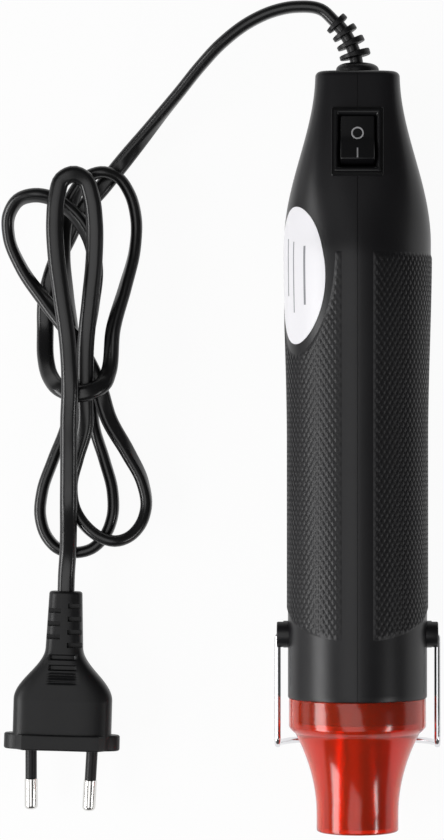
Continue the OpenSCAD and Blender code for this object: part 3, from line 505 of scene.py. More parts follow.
# Looks of the pieces made here: slot, effect, the user's colour, the effect's values, bump, shader settings
SOFT, DULL, BRIGHT = {"Specular IOR Level": 0.3}, {"Specular IOR Level": 0.35}, {"Specular IOR Level": 0.5}
METAL, CLEAR = {"Metallic": 1.0}, {"Transmission Weight": 0.8, "IOR": 1.49}
LOOKS = {
    "Satin moulding": ("black_plastic", "grain", "housing", (2600, 0.2, 0.37, 0.1), 0.18, DULL),
    "Knurled moulding": ("black_plastic", "grain", "housing", (3200, 0.25, 0.4, 0.12), 0.15, DULL),
    "Smooth moulding": ("black_gloss", "grain", "gloss", (1800, 0.1, 0.3, 0.06), 0.05, SOFT),
    "Soft moulding": ("black_rubber", "grain", "rubber", (2200, 0.2, 0.42, 0.1), 0.14, SOFT),
    "Cord jacket": ("cord_jacket", "grain", "jacket", (1500, 0.2, 0.28, 0.08), 0.06, BRIGHT),
    "Clear red moulding": ("red_plastic", "grain", "guard", (400, 0.12, 0.15, 0.04), 0.02, CLEAR),
    "Label stock": ("label", "grain", "paper", (1200, 0.03, 0.38, 0.05), 0.04, {}),
    "Printed grey": ("label", "grain", "print_grey", (1600, 0.2, 0.45, 0.08), 0.03, {}),
    "Sign paint": ("label", "grain", "sign", (3000, 0.15, 0.5, 0.08), 0.1, {}),
    "Plated wire": ("chrome", "rub", "plating", (900, 0.12, 0.1), 0.05, METAL),
    "Bright nickel": ("nickel", "rub", "pins", (1400, 0.2, 0.16), 0.1, METAL),
}
# Inner pieces' finishes by their slot: effect, colour, roughness, metallic
INNER = {
    "grey_plastic": ("grain", (0.06, 0.06, 0.065), 0.5, 0.0),
    "pale_plastic": ("grain", (0.70, 0.68, 0.60), 0.45, 0.0),
    "lead_jacket": ("grain", (0.20, 0.06, 0.03), 0.4, 0.0),
    "board": ("grain", (0.05, 0.20, 0.08), 0.35, 0.0),
    "mica": ("grain", (0.60, 0.50, 0.32), 0.35, 0.0),
    "magnet": ("grain", (0.08, 0.08, 0.085), 0.6, 0.0),
    "zinc": ("rub", (0.60, 0.61, 0.63), 0.3, 1.0),
    "steel": ("rub", (0.45, 0.43, 0.41), 0.34, 1.0),
    "brass": ("rub", (0.72, 0.53, 0.30), 0.25, 1.0),
    "copper": ("rub", (0.60, 0.30, 0.16), 0.3, 1.0),
    "heating_wire": ("rub", (0.16, 0.14, 0.13), 0.45, 1.0),
}
INNER_BUMP = (0.12, 0.00006)


def dress(name):
    """The material and the slot that go by a look's name, or by the name of an inner piece's slot."""
    if name in INNER:
        effect, tone, rough, metallic = INNER[name]
        values = {"Colour": tone, "Roughness": rough}
        inner = "Inner " + name.replace("_", " ")
        return finish(inner, effect, values, *INNER_BUMP, {"Metallic": metallic}), name
    slot, effect, tone, values, bump, settings = LOOKS[name]
    labels, reach = EFFECTS[effect]
    values = dict(zip(labels, values), Colour=getattr(bpy.context.scene.heat_finishes, tone))
    return finish(name, effect, values, bump, reach, settings), slot


# The cord

def lobe(start, end, turn, half, power, heights, rolls, steps=14):
    """One lobe of the hank: out from the waist and back. The middle goes from the waist to the turn with
    the sine of u. The width swings with the cosine of u, to the power that rounds the fold, times the eased
    sine. The heights and the rolls are given at the key angles."""
    u = np.pi * np.arange(steps) / steps
    out = np.sin(u)[:, None]
    start, end, turn = np.array(start), np.array(end), np.array(turn)
    waist = (start + end) / 2 + (start - end) / 2 * np.cos(u)[:, None]
    middle = waist * (1 - out) + turn * out
    middle[:, 0] += half * np.sign(np.cos(u)) * np.abs(np.cos(u)) ** power * ease(np.sin(u))
    keys = np.radians([0, 45, 90, 135, 160, 180])
    return np.column_stack([middle, np.interp(u, keys, heights), np.interp(u, keys, rolls)])


def cord_route():
    """The cord's points as in the source: x, y, z and the turn of its flat side, in millimetres."""
    a = np.radians(BEND_ANGLE)
    start = np.array([-BEND_R * (1 - np.cos(a)), TOOL_LEN / 2 + BEND_R * np.sin(a), AXIS_Z])
    way = np.array([-np.sin(a), np.cos(a), 0])
    lead = [[*(start + d * way), 90] for d in (0, 5)] + [
        [-18.5, 133.9, 21.5, 90], [-25, 132.8, 20.5, 90], [-32, 129.9, 19, 90], [-41, 123.6, 16, 90],
        [-48, 116.6, 12.5, 90], [-54, 109.6, 9.5, 90], [-60, 102.7, 6.8, 80], [-65, 96.8, 4.6, 60],
        [-70, 90.9, 3, 30], [-74.5, 85.5, 2, 0], [-79, 80, 2, 0],
    ]
    wrap = [
        [-84, 74.5, 2, 0], [-88.7, 65.5, 2, 0], [-93, 56.3, 2, 0], [-95.4, 46.5, 2, 0],
        [-95.6, 37, 2.4, 0], [-95.2, 29, 5.6, 0], [-93, 22.5, 11.4, 0], [-89.4, 19, 16.2, 0],
        [-85, 17.6, 17.2, 0], [-80.5, 18.4, 17, 0], [-77, 20.6, 15, 10],
    ]
    lobes = [
        lobe([-75.6, 24], [-87.4, 19], [-77.5, 85.3], 16.6, 0.85,
             [12, 3.6, 7.8, 6.7, 2.9, 2.8], [30, 90, 90, 30, 80, 90]),
        lobe([-87.4, 19], [-81.4, 19], [-86.5, -30.8], -17.4, 0.8, [2.8] * 6, [90] * 6),
        lobe([-81.4, 19], [-79, 20.6], [-97.5, 77.8], 21, 0.85,
             [2.8, 10.3, 13.9, 8, 8.5, 8.6], [90, 45, 60, 90, 45, 0]),
        lobe([-79, 20.6], [-82.6, 17.5], [-73.8, -27.1], 19, 1,
             [8.6, 4, 8.8, 9, 11, 12.6], [0, 90, 90, 70, 20, 0]),
        lobe([-82.6, 17.5], [-86.4, 19.2], [-85.6, 83.9], 8.4, 0.6,
             [12.6, 15.2, 18, 19, 20.6, 21.6], [0] * 6),
    ]
    tail = [
        [-86.4, 19.2, 21.6, 0], [-86.9, 10, 19.8, 0], [-87.1, 1, 17.6, 0], [-87.3, -8, 15.8, 0],
        [-87.5, -17, 14.1, 0], [-87.8, -25, 10.6, 0], [-88.2, -31, 8, 0],
    ] + [[*on_plug([0, PLUG_LEN + d, 0]), 0] for d in (5, 0)]
    return np.concatenate([lead, wrap, *lobes, tail])


def smooth_line(points, step):
    """A smooth line through points: each span is a cubic whose end slopes are those of the chords to the
    points beside it, weighed by their lengths. It is then read off at even steps of its length."""
    p = points[:, :3]
    gaps = np.linalg.norm(np.diff(p, axis=0), axis=1)
    knots = np.concatenate([[0], np.cumsum(gaps)])
    slopes = np.diff(points, axis=0) / gaps[:, None]
    inner = (slopes[:-1] * gaps[1:, None] + slopes[1:] * gaps[:-1, None]) / (gaps[1:] + gaps[:-1])[:, None]
    tangents = np.concatenate([slopes[:1], inner, slopes[-1:]])
    t = np.arange(0, knots[-1], step / 4)
    i = np.clip(np.searchsorted(knots, t, "right") - 1, 0, len(gaps) - 1)
    h = gaps[i][:, None]
    u = ((t - knots[i]) / gaps[i])[:, None]
    line = (
        points[i] * (2 * u ** 3 - 3 * u ** 2 + 1) + tangents[i] * h * (u ** 3 - 2 * u ** 2 + u)
        + points[i + 1] * (3 * u ** 2 - 2 * u ** 3) + tangents[i + 1] * h * (u ** 3 - u ** 2)
    )
    line = np.concatenate([line, points[-1:]])
    run = np.concatenate([[0], np.cumsum(np.linalg.norm(np.diff(line[:, :3], axis=0), axis=1))])
    even = np.linspace(0, run[-1], int(run[-1] / step) + 1)
    return np.column_stack([np.interp(even, run, line[:, k]) for k in range(points.shape[1])]), run[-1]


def along(line):
    """Unit directions along a line of points."""
    d = np.gradient(line, axis=0)
    return d / np.linalg.norm(d, axis=1, keepdims=True)


def cord_skin(line, width, thickness, sides):
    """Rings of the flat cord: a stadium with a shallow groove between its two cores, its wide side turned
    by the roll about the line."""
    t = along(line[:, :3])
    s = np.column_stack([t[:, 1], -t[:, 0], np.zeros(len(t))])
    s /= np.linalg.norm(s, axis=1, keepdims=True)
    u = np.cross(s, t)
    roll = np.radians(line[:, 3])[:, None]
    wide = s * np.cos(roll) + u * np.sin(roll)
    thin = u * np.cos(roll) - s * np.sin(roll)
    a = circle(sides)
    r = thickness / 2
    half = width / 2 - r
    x = r * np.cos(a) + half * np.tanh(4 * np.cos(a))
    y = r * np.sin(a) * (1 - 0.05 * np.exp(-(x / 0.5) ** 2))
    return line[:, None, :3] + wide[:, None] * x[None, :, None] + thin[:, None] * y[None, :, None]


class HEATTOOL_OT_camera(Operator):
    """Sets the camera over the tool, as far and as wide as the photograph's"""
    bl_idname = "heattool.camera"
    bl_label = "Camera"

    def execute(self, context):
        field_at_1_m = 0.25225
        picture_height, shift_pixels = 840, 135.5
        ahead, distance = 0.00975, 1.022
        lens = bpy.data.cameras.new("Camera")
        lens.sensor_fit = "VERTICAL"
        lens.sensor_height = 24
        lens.lens = lens.sensor_height / field_at_1_m
        lens.shift_x = -shift_pixels / picture_height
        lens.clip_start = 0.05
        lens.clip_end = 20
        camera = put("Camera", lens)
        camera.location = (0, ahead, distance)
        context.scene.camera = camera
        return {"FINISHED"}


class HEATTOOL_OT_cord(Operator):
    """Makes the flat twin cord from the boot, round its hank and into the plug"""
    bl_idname = "heattool.cord"
    bl_label = "Cord"

    def execute(self, context):
        sizes = context.scene.heat_cord
        ring_step = 1.1
        line, run = smooth_line(cord_route(), ring_step)
        grid = cord_skin(line, sizes.width / MM, sizes.thickness / MM, sizes.sides)
        cord = make_piece(
            "flat_cord", tube(grid), "Cord jacket", ("cord_lead", "cord_hank", "cord_tail"), sharp=60,
        )
        return {"FINISHED"}


# The housing

SEAM_HALF = 0.1


def shell_loop(turns, seam_depth):
    """One half's section loops: for each turn about the axis, a closed loop out over the end wall, along
    the outside, over the spigot, back along the inside and out at the cord's hole."""
    t = turns[None, :]
    arc = np.abs(np.abs(t) - np.pi / 2) * GRIP_R
    groove = seam_depth * (arc < SEAM_HALF)

    def flat(radius, s):
        """Round rings of the given radii at the given places along the tool."""
        radius, s = np.asarray(radius, float)[:, None], np.asarray(s, float)[:, None]
        return in_tool(radius * np.cos(t), radius * np.sin(t), s + 0 * t)

    q = quarter()
    hole = flat([CORD_HOLE_R], [0])
    share = np.linspace(0, 1, 5)[:, None, None]
    wall = hole * (1 - share) + skin(t, np.zeros((1, 1)), -HEAD_ROUND) * share
    edge = skin(t, HEAD_ROUND * (1 - np.cos(q))[1:, None], HEAD_ROUND * (np.sin(q) - 1)[1:, None] - groove)
    s = np.concatenate([np.linspace(1.9, 60, 66), np.linspace(61.5, HOUSING_LEN - 0.4, 84)])[:, None]
    side = skin(t, s, -groove)
    lip = skin(t, np.array([[HOUSING_LEN - 0.15], [HOUSING_LEN]]), np.array([[-0.08], [-0.35]]) - groove)
    end, bevel, bore_end = HOUSING_LEN + SPIGOT_LEN, 0.3, HOUSING_LEN - SPIGOT_REACH_IN
    spigot = flat([SPIGOT_R, SPIGOT_R, SPIGOT_R - bevel, BORE_R], [HOUSING_LEN, end - bevel, end, end])
    bore = flat([BORE_R, BORE_R], [HOUSING_LEN + 1.5, bore_end])
    inside = skin(t, np.linspace(bore_end, END_WALL, 40)[:, None], -WALL)
    back = flat([CORD_HOLE_R], [END_WALL])
    return np.concatenate([hole, wall[1:], edge, side, lip, spigot, bore, inside, back])


def seam_turns(step_mm=1.6):
    """Turns of a half from front to back, packed closely beside the seam."""
    near = np.array([0, 0.05, 0.095, 0.105, 0.16, 0.3, 0.7, 1.3]) / GRIP_R
    middle = np.linspace(near[-1], np.pi - near[-1], int(np.pi * GRIP_R / step_mm))
    return np.pi / 2 - np.concatenate([near[:-1], middle, np.pi - near[:-1][::-1]])


def half_mesh(side, seam_depth):
    """The right half, or with side -1 the left one, closed with flat faces on the seam."""
    points, faces = tube(np.moveaxis(shell_loop(seam_turns(), seam_depth), 1, 0))
    points = points.copy()
    points[:, 0] = np.maximum(points[:, 0], 0) * side
    return points, faces


def slot_cutters(count=3, first_deg=15, pitch=4.4):
    """The air slots of both halves, as boxes turned round the axis, with the pitch as an arc."""
    wide, start, end, inner_r, outer_r = 1.8, 47, 63, 12, 24
    corners, faces = box_mesh((inner_r, -wide / 2, start), (outer_r, wide / 2, end))
    x, y, s = corners.T
    parts = []
    for side in SIDES.values():
        for i in range(count):
            turn = side * np.radians(first_deg + i * pitch / BULGE_R * 180 / np.pi) - np.pi / 2
            c, k = np.cos(turn), np.sin(turn)
            parts.append((in_tool(x * c - y * k, x * k + y * c, s), faces))
    return parts


def screw_cutters(reach, head_r=2.35):
    """The bores for the screw heads, in the left half, at the posts' rises and places along the tool."""
    posts = [(-10, 36), (-15.9, 84), (-15.9, 122), (-15.9, 150)]
    return [rod_mesh((0, TOOL_LEN / 2 - s, AXIS_Z + rise), 0, head_r, reach) for rise, s in posts]


class HEATTOOL_OT_housing(Operator):
    """Makes the two moulded housing halves with their spigot, air slots, screw bores and switch opening"""
    bl_idname = "heattool.housing"
    bl_label = "Housing halves"

    def execute(self, context):
        depth = context.scene.heat_grip.seam_depth / MM
        opening, sides = box_mesh((-6.65, -8.7, -12), (6.65, 8.7, 6))
        opening = (on_switch(opening), sides)
        for name, side in SIDES.items():
            shape = half_mesh(side, depth)
            half = make_piece(name + "_housing", shape, "Satin moulding", (name + "_shell",))
            bores = screw_cutters((-30, -4)) if side < 0 else []
            carve(half, slot_cutters() + bores + [opening])
        return {"FINISHED"}


def panel_grid(side, sizes):
    """One knurled panel: over its grid of arc and length, the lift is the least of the knurl and of the
    distance to the panel's border, so that it sinks into the housing all round. The knurl is the lesser of
    two crossing saw teeth, cut off at the top. On the left the border keeps clear of the label."""
    w, d = sizes.diamond_width / MM, sizes.diamond_length / MM
    band, reach, high = sizes.band_half / MM, sizes.panel_reach / MM, sizes.diamond_height / MM
    top, bottom, corner_drop, corner_arc = 54.3, 168.9, 7.5, 26
    steps, base, deepest, slant = 6, 0.03, 0.4, 0.3
    label_x, label_y, label_r = LABEL_HALF[0] + 3.5, LABEL_HALF[1] + 9.7, 21.65
    arc = np.arange(band - 0.3, reach + 0.4, w / steps)[None, :]
    s = np.arange(top - 1.1, bottom + 0.9, d / steps)[:, None]
    edge = bottom - corner_drop * np.clip((arc - band) / corner_arc, 0, 1) ** 1.6
    border = np.minimum(np.minimum(arc - band, reach - arc), np.minimum(s - top, edge - s))
    if side < 0:
        x, y = (arc - LABEL_TURN * label_r) / label_x, np.maximum(s - top, 0) / label_y
        ring = np.hypot(x, y)
        slope = np.hypot(x / label_x, y / label_y) / np.maximum(ring, 0.01)
        border = np.minimum(border, (ring - 1) / np.maximum(slope, 0.01))
    i = np.arange(arc.size)[None, :]
    j = np.arange(s.size)[:, None]
    tooth = [1 - np.abs(2 * (((i + k * j) / steps) % 1) - 1) for k in (1, -1)]
    knurl = high * np.minimum(1, 3 * np.minimum(*tooth)) + base
    lift = np.clip(np.minimum(knurl, slant * border), -deepest, None)
    turn = np.pi / 2 - side * arc / half_width(s)
    return skin(turn, s, lift), skin(turn, s + 0 * turn, -0.7)


class HEATTOOL_OT_grip_panels(Operator):
    """Makes the knurled panel on each side of the grip"""
    bl_idname = "heattool.grip_panels"
    bl_label = "Grip panels"

    def execute(self, context):
        for name, side in SIDES.items():
            shape = sheet_pair(*panel_grid(side, context.scene.heat_grip))
            make_piece(name + "_grip_panel", shape, "Knurled moulding", sharp=180)
        return {"FINISHED"}


def lug_mesh(side):
    """A lug of the stand: a disc's profile turned about the pivot, with a rounded outer edge."""
    profile = np.array([[0.3, 19.6], [4.05, 19.6], [4.05, 23.8], [3.99, 24.03], [3.85, 24.15], [3.6, 24.2],
                        [1.4, 24.2], [1.15, 24.1], [1.0, 23.8], [1.0, 20.5], [0.3, 20.5]])
    a = circle(40)
    r, x = profile[:, :1], profile[:, 1:]
    grid = in_tool(side * (x + 0 * a), r * np.cos(a), PIVOT_S + r * np.sin(a))
    return loop_tube(grid)


class HEATTOOL_OT_lugs(Operator):
    """Makes the lugs that carry the stand, cut away behind where the arms swing"""
    bl_idname = "heattool.lugs"
    bl_label = "Stand lugs"

    def execute(self, context):
        for name, side in SIDES.items():
            lug = make_piece(name + "_lug", lug_mesh(side), "Satin moulding")
            corners, faces = box_mesh((22.25, -6.8, PIVOT_S - 8), (32, 1.3, PIVOT_S + 8))
            x, rise, s = corners.T
            carve(lug, [(in_tool(side * x, rise, s), faces)])
        return {"FINISHED"}


# The switch

def rounded_ring(half_x, half_y, corner, z, points=8):
    """A rounded rectangle's points: a quarter circle at each corner."""
    a = np.radians(np.concatenate([np.linspace(q, q + 90, points) for q in (0, 90, 180, 270)]))
    x = np.repeat([1, -1, -1, 1], points) * (half_x - corner) + corner * np.cos(a)
    y = np.repeat([1, 1, -1, -1], points) * (half_y - corner) + corner * np.sin(a)
    return np.column_stack([x, y, np.full(a.size, float(z))])


class HEATTOOL_OT_switch(Operator):
    """Makes the switch's frame, its rocker and the signs painted on it"""
    bl_idname = "heattool.switch"
    bl_label = "Switch"

    def execute(self, context):
        # Half width, half height, corner and level of each ring, from inside the housing to the hollow
        rings = [
            (6.5, 8.55, 0.3, -12), (6.5, 8.55, 0.3, 0.02), (7.7, 10.5, 0.6, 0.02),
            (7.7, 10.5, 0.6, 0.4), (7.62, 10.42, 0.6, 0.5), (7.42, 10.2, 0.5, 0.5),
            (7.36, 10.1, 0.5, 0.15), (6.95, 9.55, 0.4, 0.15), (6.9, 9.5, 0.4, 1.6),
            (6.82, 9.42, 0.4, 1.82), (6.6, 9.2, 0.4, 1.9), (6.2, 8.7, 0.4, 1.9),
            (6.05, 8.45, 0.4, 1.8), (5.75, 7.95, 0.4, 1.2), (5.45, 7.52, 0.4, 0.4),
            (5.4, 7.45, 0.3, -10.5),
        ]
        grid = on_switch(np.array([rounded_ring(*r) for r in rings]))
        make_piece("switch_bezel", tube(grid), "Smooth moulding", ("switch_frame",))
        self.rocker(context.scene.heat_signs)
        return {"FINISHED"}

    @staticmethod
    def crest_at(y):
        """Height of the rocker's face: two slopes of its tilt that meet in a slightly rounded valley."""
        valley, blend = 2.56, 0.004
        return valley + np.sqrt((y * np.tan(ROCKER_TILT)) ** 2 + blend)

    def rocker(self, signs):
        """The rocker's side outline, carried across its width with rounded ends, then its signs."""
        half_w, half_len, half_high, side_round, middle = 5.05, 7.05, 4.5, 0.45, -0.6
        y = np.concatenate([np.linspace(-6.7, -0.8, 8), [0], np.linspace(0.8, 6.7, 8)])
        outline = np.concatenate([
            np.column_stack([y, self.crest_at(y)]),
            [[6.95, 3.55], [7.02, 3.2], [half_len, 0], [6.75, -2.2], [2.5, -5]],
            [[-2.5, -5], [-6.75, -2.2], [-half_len, 0], [-7.02, 3.2], [-6.95, 3.55]],
        ])
        q = np.radians([0, 30, 60, 90])
        x = half_w - side_round + side_round * np.sin(q)
        x = np.concatenate([-x[::-1], x])
        pull = side_round * (1 - np.cos(np.concatenate([q[::-1], q])))
        along_y = outline[:, 0] * (1 - pull / half_len)[:, None]
        along_z = (outline[:, 1] - middle) * (1 - pull / half_high)[:, None] + middle
        paddle = tube(self.tilt(stack(x[:, None], along_y, along_z)))
        make_piece("switch_paddle", paddle, "Smooth moulding", ("rocker",), "switch_rocker")
        ring_y, bar_y, sunk, proud = 1.7, -4.9, -0.1, 0.05
        r, stroke, bar = signs.ring / MM / 2, signs.stroke / MM, signs.bar / MM / 2
        a = circle(48)
        radii = np.array([r, r, r - stroke, r - stroke])[:, None]
        rise = np.array([sunk, proud, proud, sunk])[:, None]
        y = ring_y + radii * np.sin(a)
        ring = loop_tube(self.tilt(stack(radii * np.cos(a), y, self.crest_at(y) + rise)))
        corners, faces = box_mesh((-stroke / 2, bar_y - bar, sunk), (stroke / 2, bar_y + bar, proud))
        corners[:, 2] += self.crest_at(corners[:, 1])
        for name, shape in (("off_sign", ring), ("on_sign", (self.tilt(corners), faces))):
            make_piece(name, shape, "Sign paint", body="switch_rocker")

    @staticmethod
    def tilt(points):
        """Points of the rocker turned back about its pivot, below the face, to the off position."""
        x, y, z = np.moveaxis(np.asarray(points, float), -1, 0)
        c, k, pivot_drop = np.cos(ROCKER_TILT), np.sin(ROCKER_TILT), 1
        return on_switch(stack(x, y * c + z * k, z * c - y * k - pivot_drop))


# The strain relief

def at_bend(angle, across, up):
    """Points beside the boot's bent line: across is away from its centre, up is toward the switch."""
    r = BEND_R + across
    return in_tool(-BEND_R + r * np.cos(angle), up, -r * np.sin(angle))


class HEATTOOL_OT_boot(Operator):
    """Makes the strain relief: a domed collar, then a bent boot with four round ribs"""
    bl_idname = "heattool.boot"
    bl_label = "Strain relief"

    def execute(self, context):
        a, q = circle(48), quarter(10)
        flange_r, dome, bush_r, groove_r = 6.45, (3.45, 2.0), 5.2, 4.0
        collar = np.concatenate([
            [[groove_r, 4.4], [bush_r, 4.4], [bush_r, 2.62], [groove_r, 2.62], [groove_r, 0.02]],
            [[flange_r, 0.0], [flange_r, -1.2]],
            np.column_stack([flange_r - dome[0] * (1 - np.cos(q)), -1.2 - dome[1] * np.sin(q)])[1:],
        ])
        # Half sizes of the boot's section at each angle along its bend: core, or rib with rounded edges
        ribs, first_deg, pitch_deg, half_rib, edge_round = 4, 15.5, 9.7, 0.85, 0.4
        turns = np.radians(np.arange(4, BEND_ANGLE + 0.01, 0.3))
        wide, high = np.full(turns.size, 1.95), np.full(turns.size, 2.75)
        for i in range(ribs):
            middle = np.radians(first_deg + pitch_deg * i)
            radius = 4.7 - 1.05 * i / 3
            off = np.abs(turns - middle) * BEND_R / half_rib
            round_edge = np.sqrt(np.clip(1 - np.clip((off - 0.55) / 0.45, 0, 1) ** 2, 0, 1))
            rib = np.where(off < 1, radius - edge_round * (1 - round_edge), 0)
            wide, high = np.maximum(wide, rib), np.maximum(high, rib)
        grid = at_bend(turns[:, None], wide[:, None] * np.cos(a), high[:, None] * np.sin(a))
        shape = joined([tube(turned(collar, 48)), tube(grid)])
        make_piece("bend_boot", shape, "Soft moulding", ("strain_relief",))
        return {"FINISHED"}


# The label

class HEATTOOL_OT_label(Operator):
    """Makes the oval label with plain grey rules"""
    bl_idname = "heattool.label"
    bl_label = "Label"

    def execute(self, context):
        u, v = np.linspace(-1, 1, 49)[None, :], np.linspace(-1, 1, 49)[:, None]
        shape = sheet_pair(self.oval(u, v, 0.14), self.oval(u, v, -0.3))
        make_piece("oval_label", shape, "Label stock", ("rating_label",), sharp=60)
        # Each rule's place across, its ends along the label and its half width
        rules = []
        for x, low, high, half in ((-4.8, -8.6, 8.8, 0.4), (0.4, -10, 11, 0.25), (4, -11, 6, 0.3)):
            across = np.linspace(x - half, x + half, 3)[None, :]
            down = np.linspace(low, high, 30)[:, None]
            rules.append(sheet_pair(self.place(across, down, 0.16), self.place(across, down, 0.1)))
        make_piece("label_rules", joined(rules), "Printed grey", sharp=60)
        return {"FINISHED"}

    @staticmethod
    def place(across, down, lift):
        """A point of the label: across it and down it from its middle, laid on the housing."""
        s = LABEL_S + down
        turn = np.pi / 2 + LABEL_TURN + np.arcsin(across / half_width(s))
        return skin(turn, s, lift)

    def oval(self, u, v, lift):
        """The oval from a square of u and v: each is multiplied by the root of 1 less half the other's
        square."""
        x, y = u * np.sqrt(1 - v ** 2 / 2), v * np.sqrt(1 - u ** 2 / 2)
        return self.place(LABEL_HALF[0] * x, LABEL_HALF[1] * y, lift)


# The guard and what shows in its mouth

class HEATTOOL_OT_guard(Operator):
    """Makes the clear red guard: a straight land, a rounded shoulder and a flare down to the mouth"""
    bl_idname = "heattool.guard"
    bl_label = "Nozzle guard"

    def execute(self, context):
        sizes = context.scene.heat_guard
        wall, lip = sizes.wall / MM, sizes.lip / MM
        guard_r, land, shoulder, drop = 20.6, 8.4, 2.2, 1.9
        tip_r, tip_land, length = 12.3, 5, TOOL_LEN - HOUSING_LEN
        u = np.linspace(0, 1, 9)[1:]
        neck = np.column_stack([guard_r - drop * u ** 1.6, land + shoulder * u])
        v = np.linspace(1, 0, 28)[1:]
        flare_len = length - land - shoulder - tip_land
        flare = np.column_stack([
            tip_r + (guard_r - drop - tip_r) * v ** 2, land + shoulder + flare_len * (1 - v)
        ])
        q = quarter()
        rim = np.column_stack([tip_r - lip * (1 - np.cos(q)), length - lip * (1 - np.sin(q)) - 0.02])
        outer = np.concatenate([[[guard_r - 0.3, 0.02], [guard_r - 0.08, 0.1], [guard_r, 0.3], [guard_r, 3],
                                 [guard_r, 6], [guard_r, land]], neck, flare, rim])
        under = outer[:-q.size] - [wall, 0]
        under[0, 1] = under[1, 1] = 0.02
        last = [[tip_r - wall, length - 0.6], [tip_r - wall + 0.2, length - 0.1]]
        profile = np.concatenate([outer, last[::-1], under[::-1]])
        profile[:, 1] += HOUSING_LEN
        shape = loop_tube(turned(profile))
        make_piece("red_guard", shape, "Clear red moulding", ("nozzle_guard",), sharp=40)
        return {"FINISHED"}


class HEATTOOL_OT_heater(Operator):
    """Makes the heating wire's smooth helix"""
    bl_idname = "heattool.heater"
    bl_label = "Heating wire"

    def execute(self, context):
        turns, radius, reach, wire = 9, 6.8, 39, 0.6
        start = TOOL_LEN - 59.5
        a = 2 * np.pi * np.linspace(0, turns, turns * 40 + 1)
        line = np.column_stack([radius * np.cos(a), radius * np.sin(a), reach * a / (2 * np.pi * turns)])
        out = np.column_stack([np.cos(a), np.sin(a), 0 * a])
        up = np.cross(along(line), out)
        b = circle(10)
        grid = line[:, None] + wire * (out[:, None] * np.cos(b)[:, None] + up[:, None] * np.sin(b)[:, None])
        x, rise, s = np.moveaxis(grid, -1, 0)
        shape = tube(in_tool(x, rise, s + start))
        make_piece("heating_wire", shape, "heating_wire", ("heater_coil",), sharp=60)
        return {"FINISHED"}


# The stand

def rounded_path(corners, radii, steps=10):
    """A line through corners, each turned on an arc of its own radius."""
    parts = [corners[:1]]
    for before, here, after, r in zip(corners[:-2], corners[1:-1], corners[2:], radii):
        a, b = before - here, after - here
        a, b = a / np.linalg.norm(a), b / np.linalg.norm(b)
        half = np.arccos(np.clip(a @ b, -1, 1)) / 2
        start, middle = here + a * r / np.tan(half), (a + b) / np.linalg.norm(a + b)
        centre = here + middle * r / np.sin(half)
        end = here + b * r / np.tan(half)
        u = np.linspace(0, 1, steps)[:, None]
        sweep = np.pi - 2 * half
        p, q = start - centre, end - centre
        parts.append(centre + (np.sin((1 - u) * sweep) * p + np.sin(u * sweep) * q) / np.sin(sweep))
    parts.append(corners[-1:])
    return np.concatenate(parts)


def wire_skin(line, radius, sides=20):
    """Rings of a round wire along a line, each carried on from the one before with the least turn."""
    t = along(line)
    side = np.zeros_like(t)
    side[0] = np.cross(t[0], [0.31, 0.52, 0.79])
    for i in range(1, len(t)):
        side[i] = side[i - 1] - t[i] * (side[i - 1] @ t[i])
    side /= np.linalg.norm(side, axis=1, keepdims=True)
    side[0] /= np.linalg.norm(side[0])
    up = np.cross(t, side)
    a = circle(sides)
    return line[:, None] + radius * (side[:, None] * np.cos(a)[:, None] + up[:, None] * np.sin(a)[:, None])


class HEATTOOL_OT_stand(Operator):
    """Makes the wire stand: two arms from the lugs, and a foot whose bar lies on the table"""
    bl_idname = "heattool.stand"
    bl_label = "Wire stand"

    def execute(self, context):
        wire_r = 0.95
        foot, root, deep = PIVOT_S + 33.3, GRIP_R - 0.5, wire_r - AXIS_Z
        corners = np.array([
            [-root, 0, PIVOT_S], [-ARM_X, 0, PIVOT_S], [-ARM_X, 0, foot], [-ARM_X, deep, foot],
            [ARM_X, deep, foot], [ARM_X, 0, foot], [ARM_X, 0, PIVOT_S], [root, 0, PIVOT_S],
        ])
        line = rounded_path(corners, [1.3, 2.5, 17, 17, 2.5, 1.3], 14)
        shape = tube(wire_skin(in_tool(*line.T), wire_r))
        make_piece("stand_wire", shape, "Plated wire", ("wire_stand",), "stand", 60)
        return {"FINISHED"}


# The plug

def plug_rings(v):
    """The plug body's rings: width eases from the body to the throat and on to the boot, and the squareness
    falls from 4 to 2.4 along the boot."""
    body_w, throat_w, boot_w, body_h, boot_h, shoulder = 29.9, 12.5, 10, 11.8, 7.4, 16
    share = np.clip((v - PLUG_STRAIGHT) / (PLUG_LEN - PLUG_STRAIGHT), 0, 1)
    throat = throat_w + (boot_w - throat_w) * share
    width = throat + (body_w - throat) * (1 - ease((v - PLUG_STRAIGHT) / shoulder))
    height = body_h + (boot_h - body_h) * share
    a = circle(72)[None, :]
    w, h, n, v = (q[:, None] for q in (width / 2, height / 2, 4 - 1.6 * share, v))
    r = squared(a, w, h, n)
    return stack(r * np.cos(a), v, r * np.sin(a))


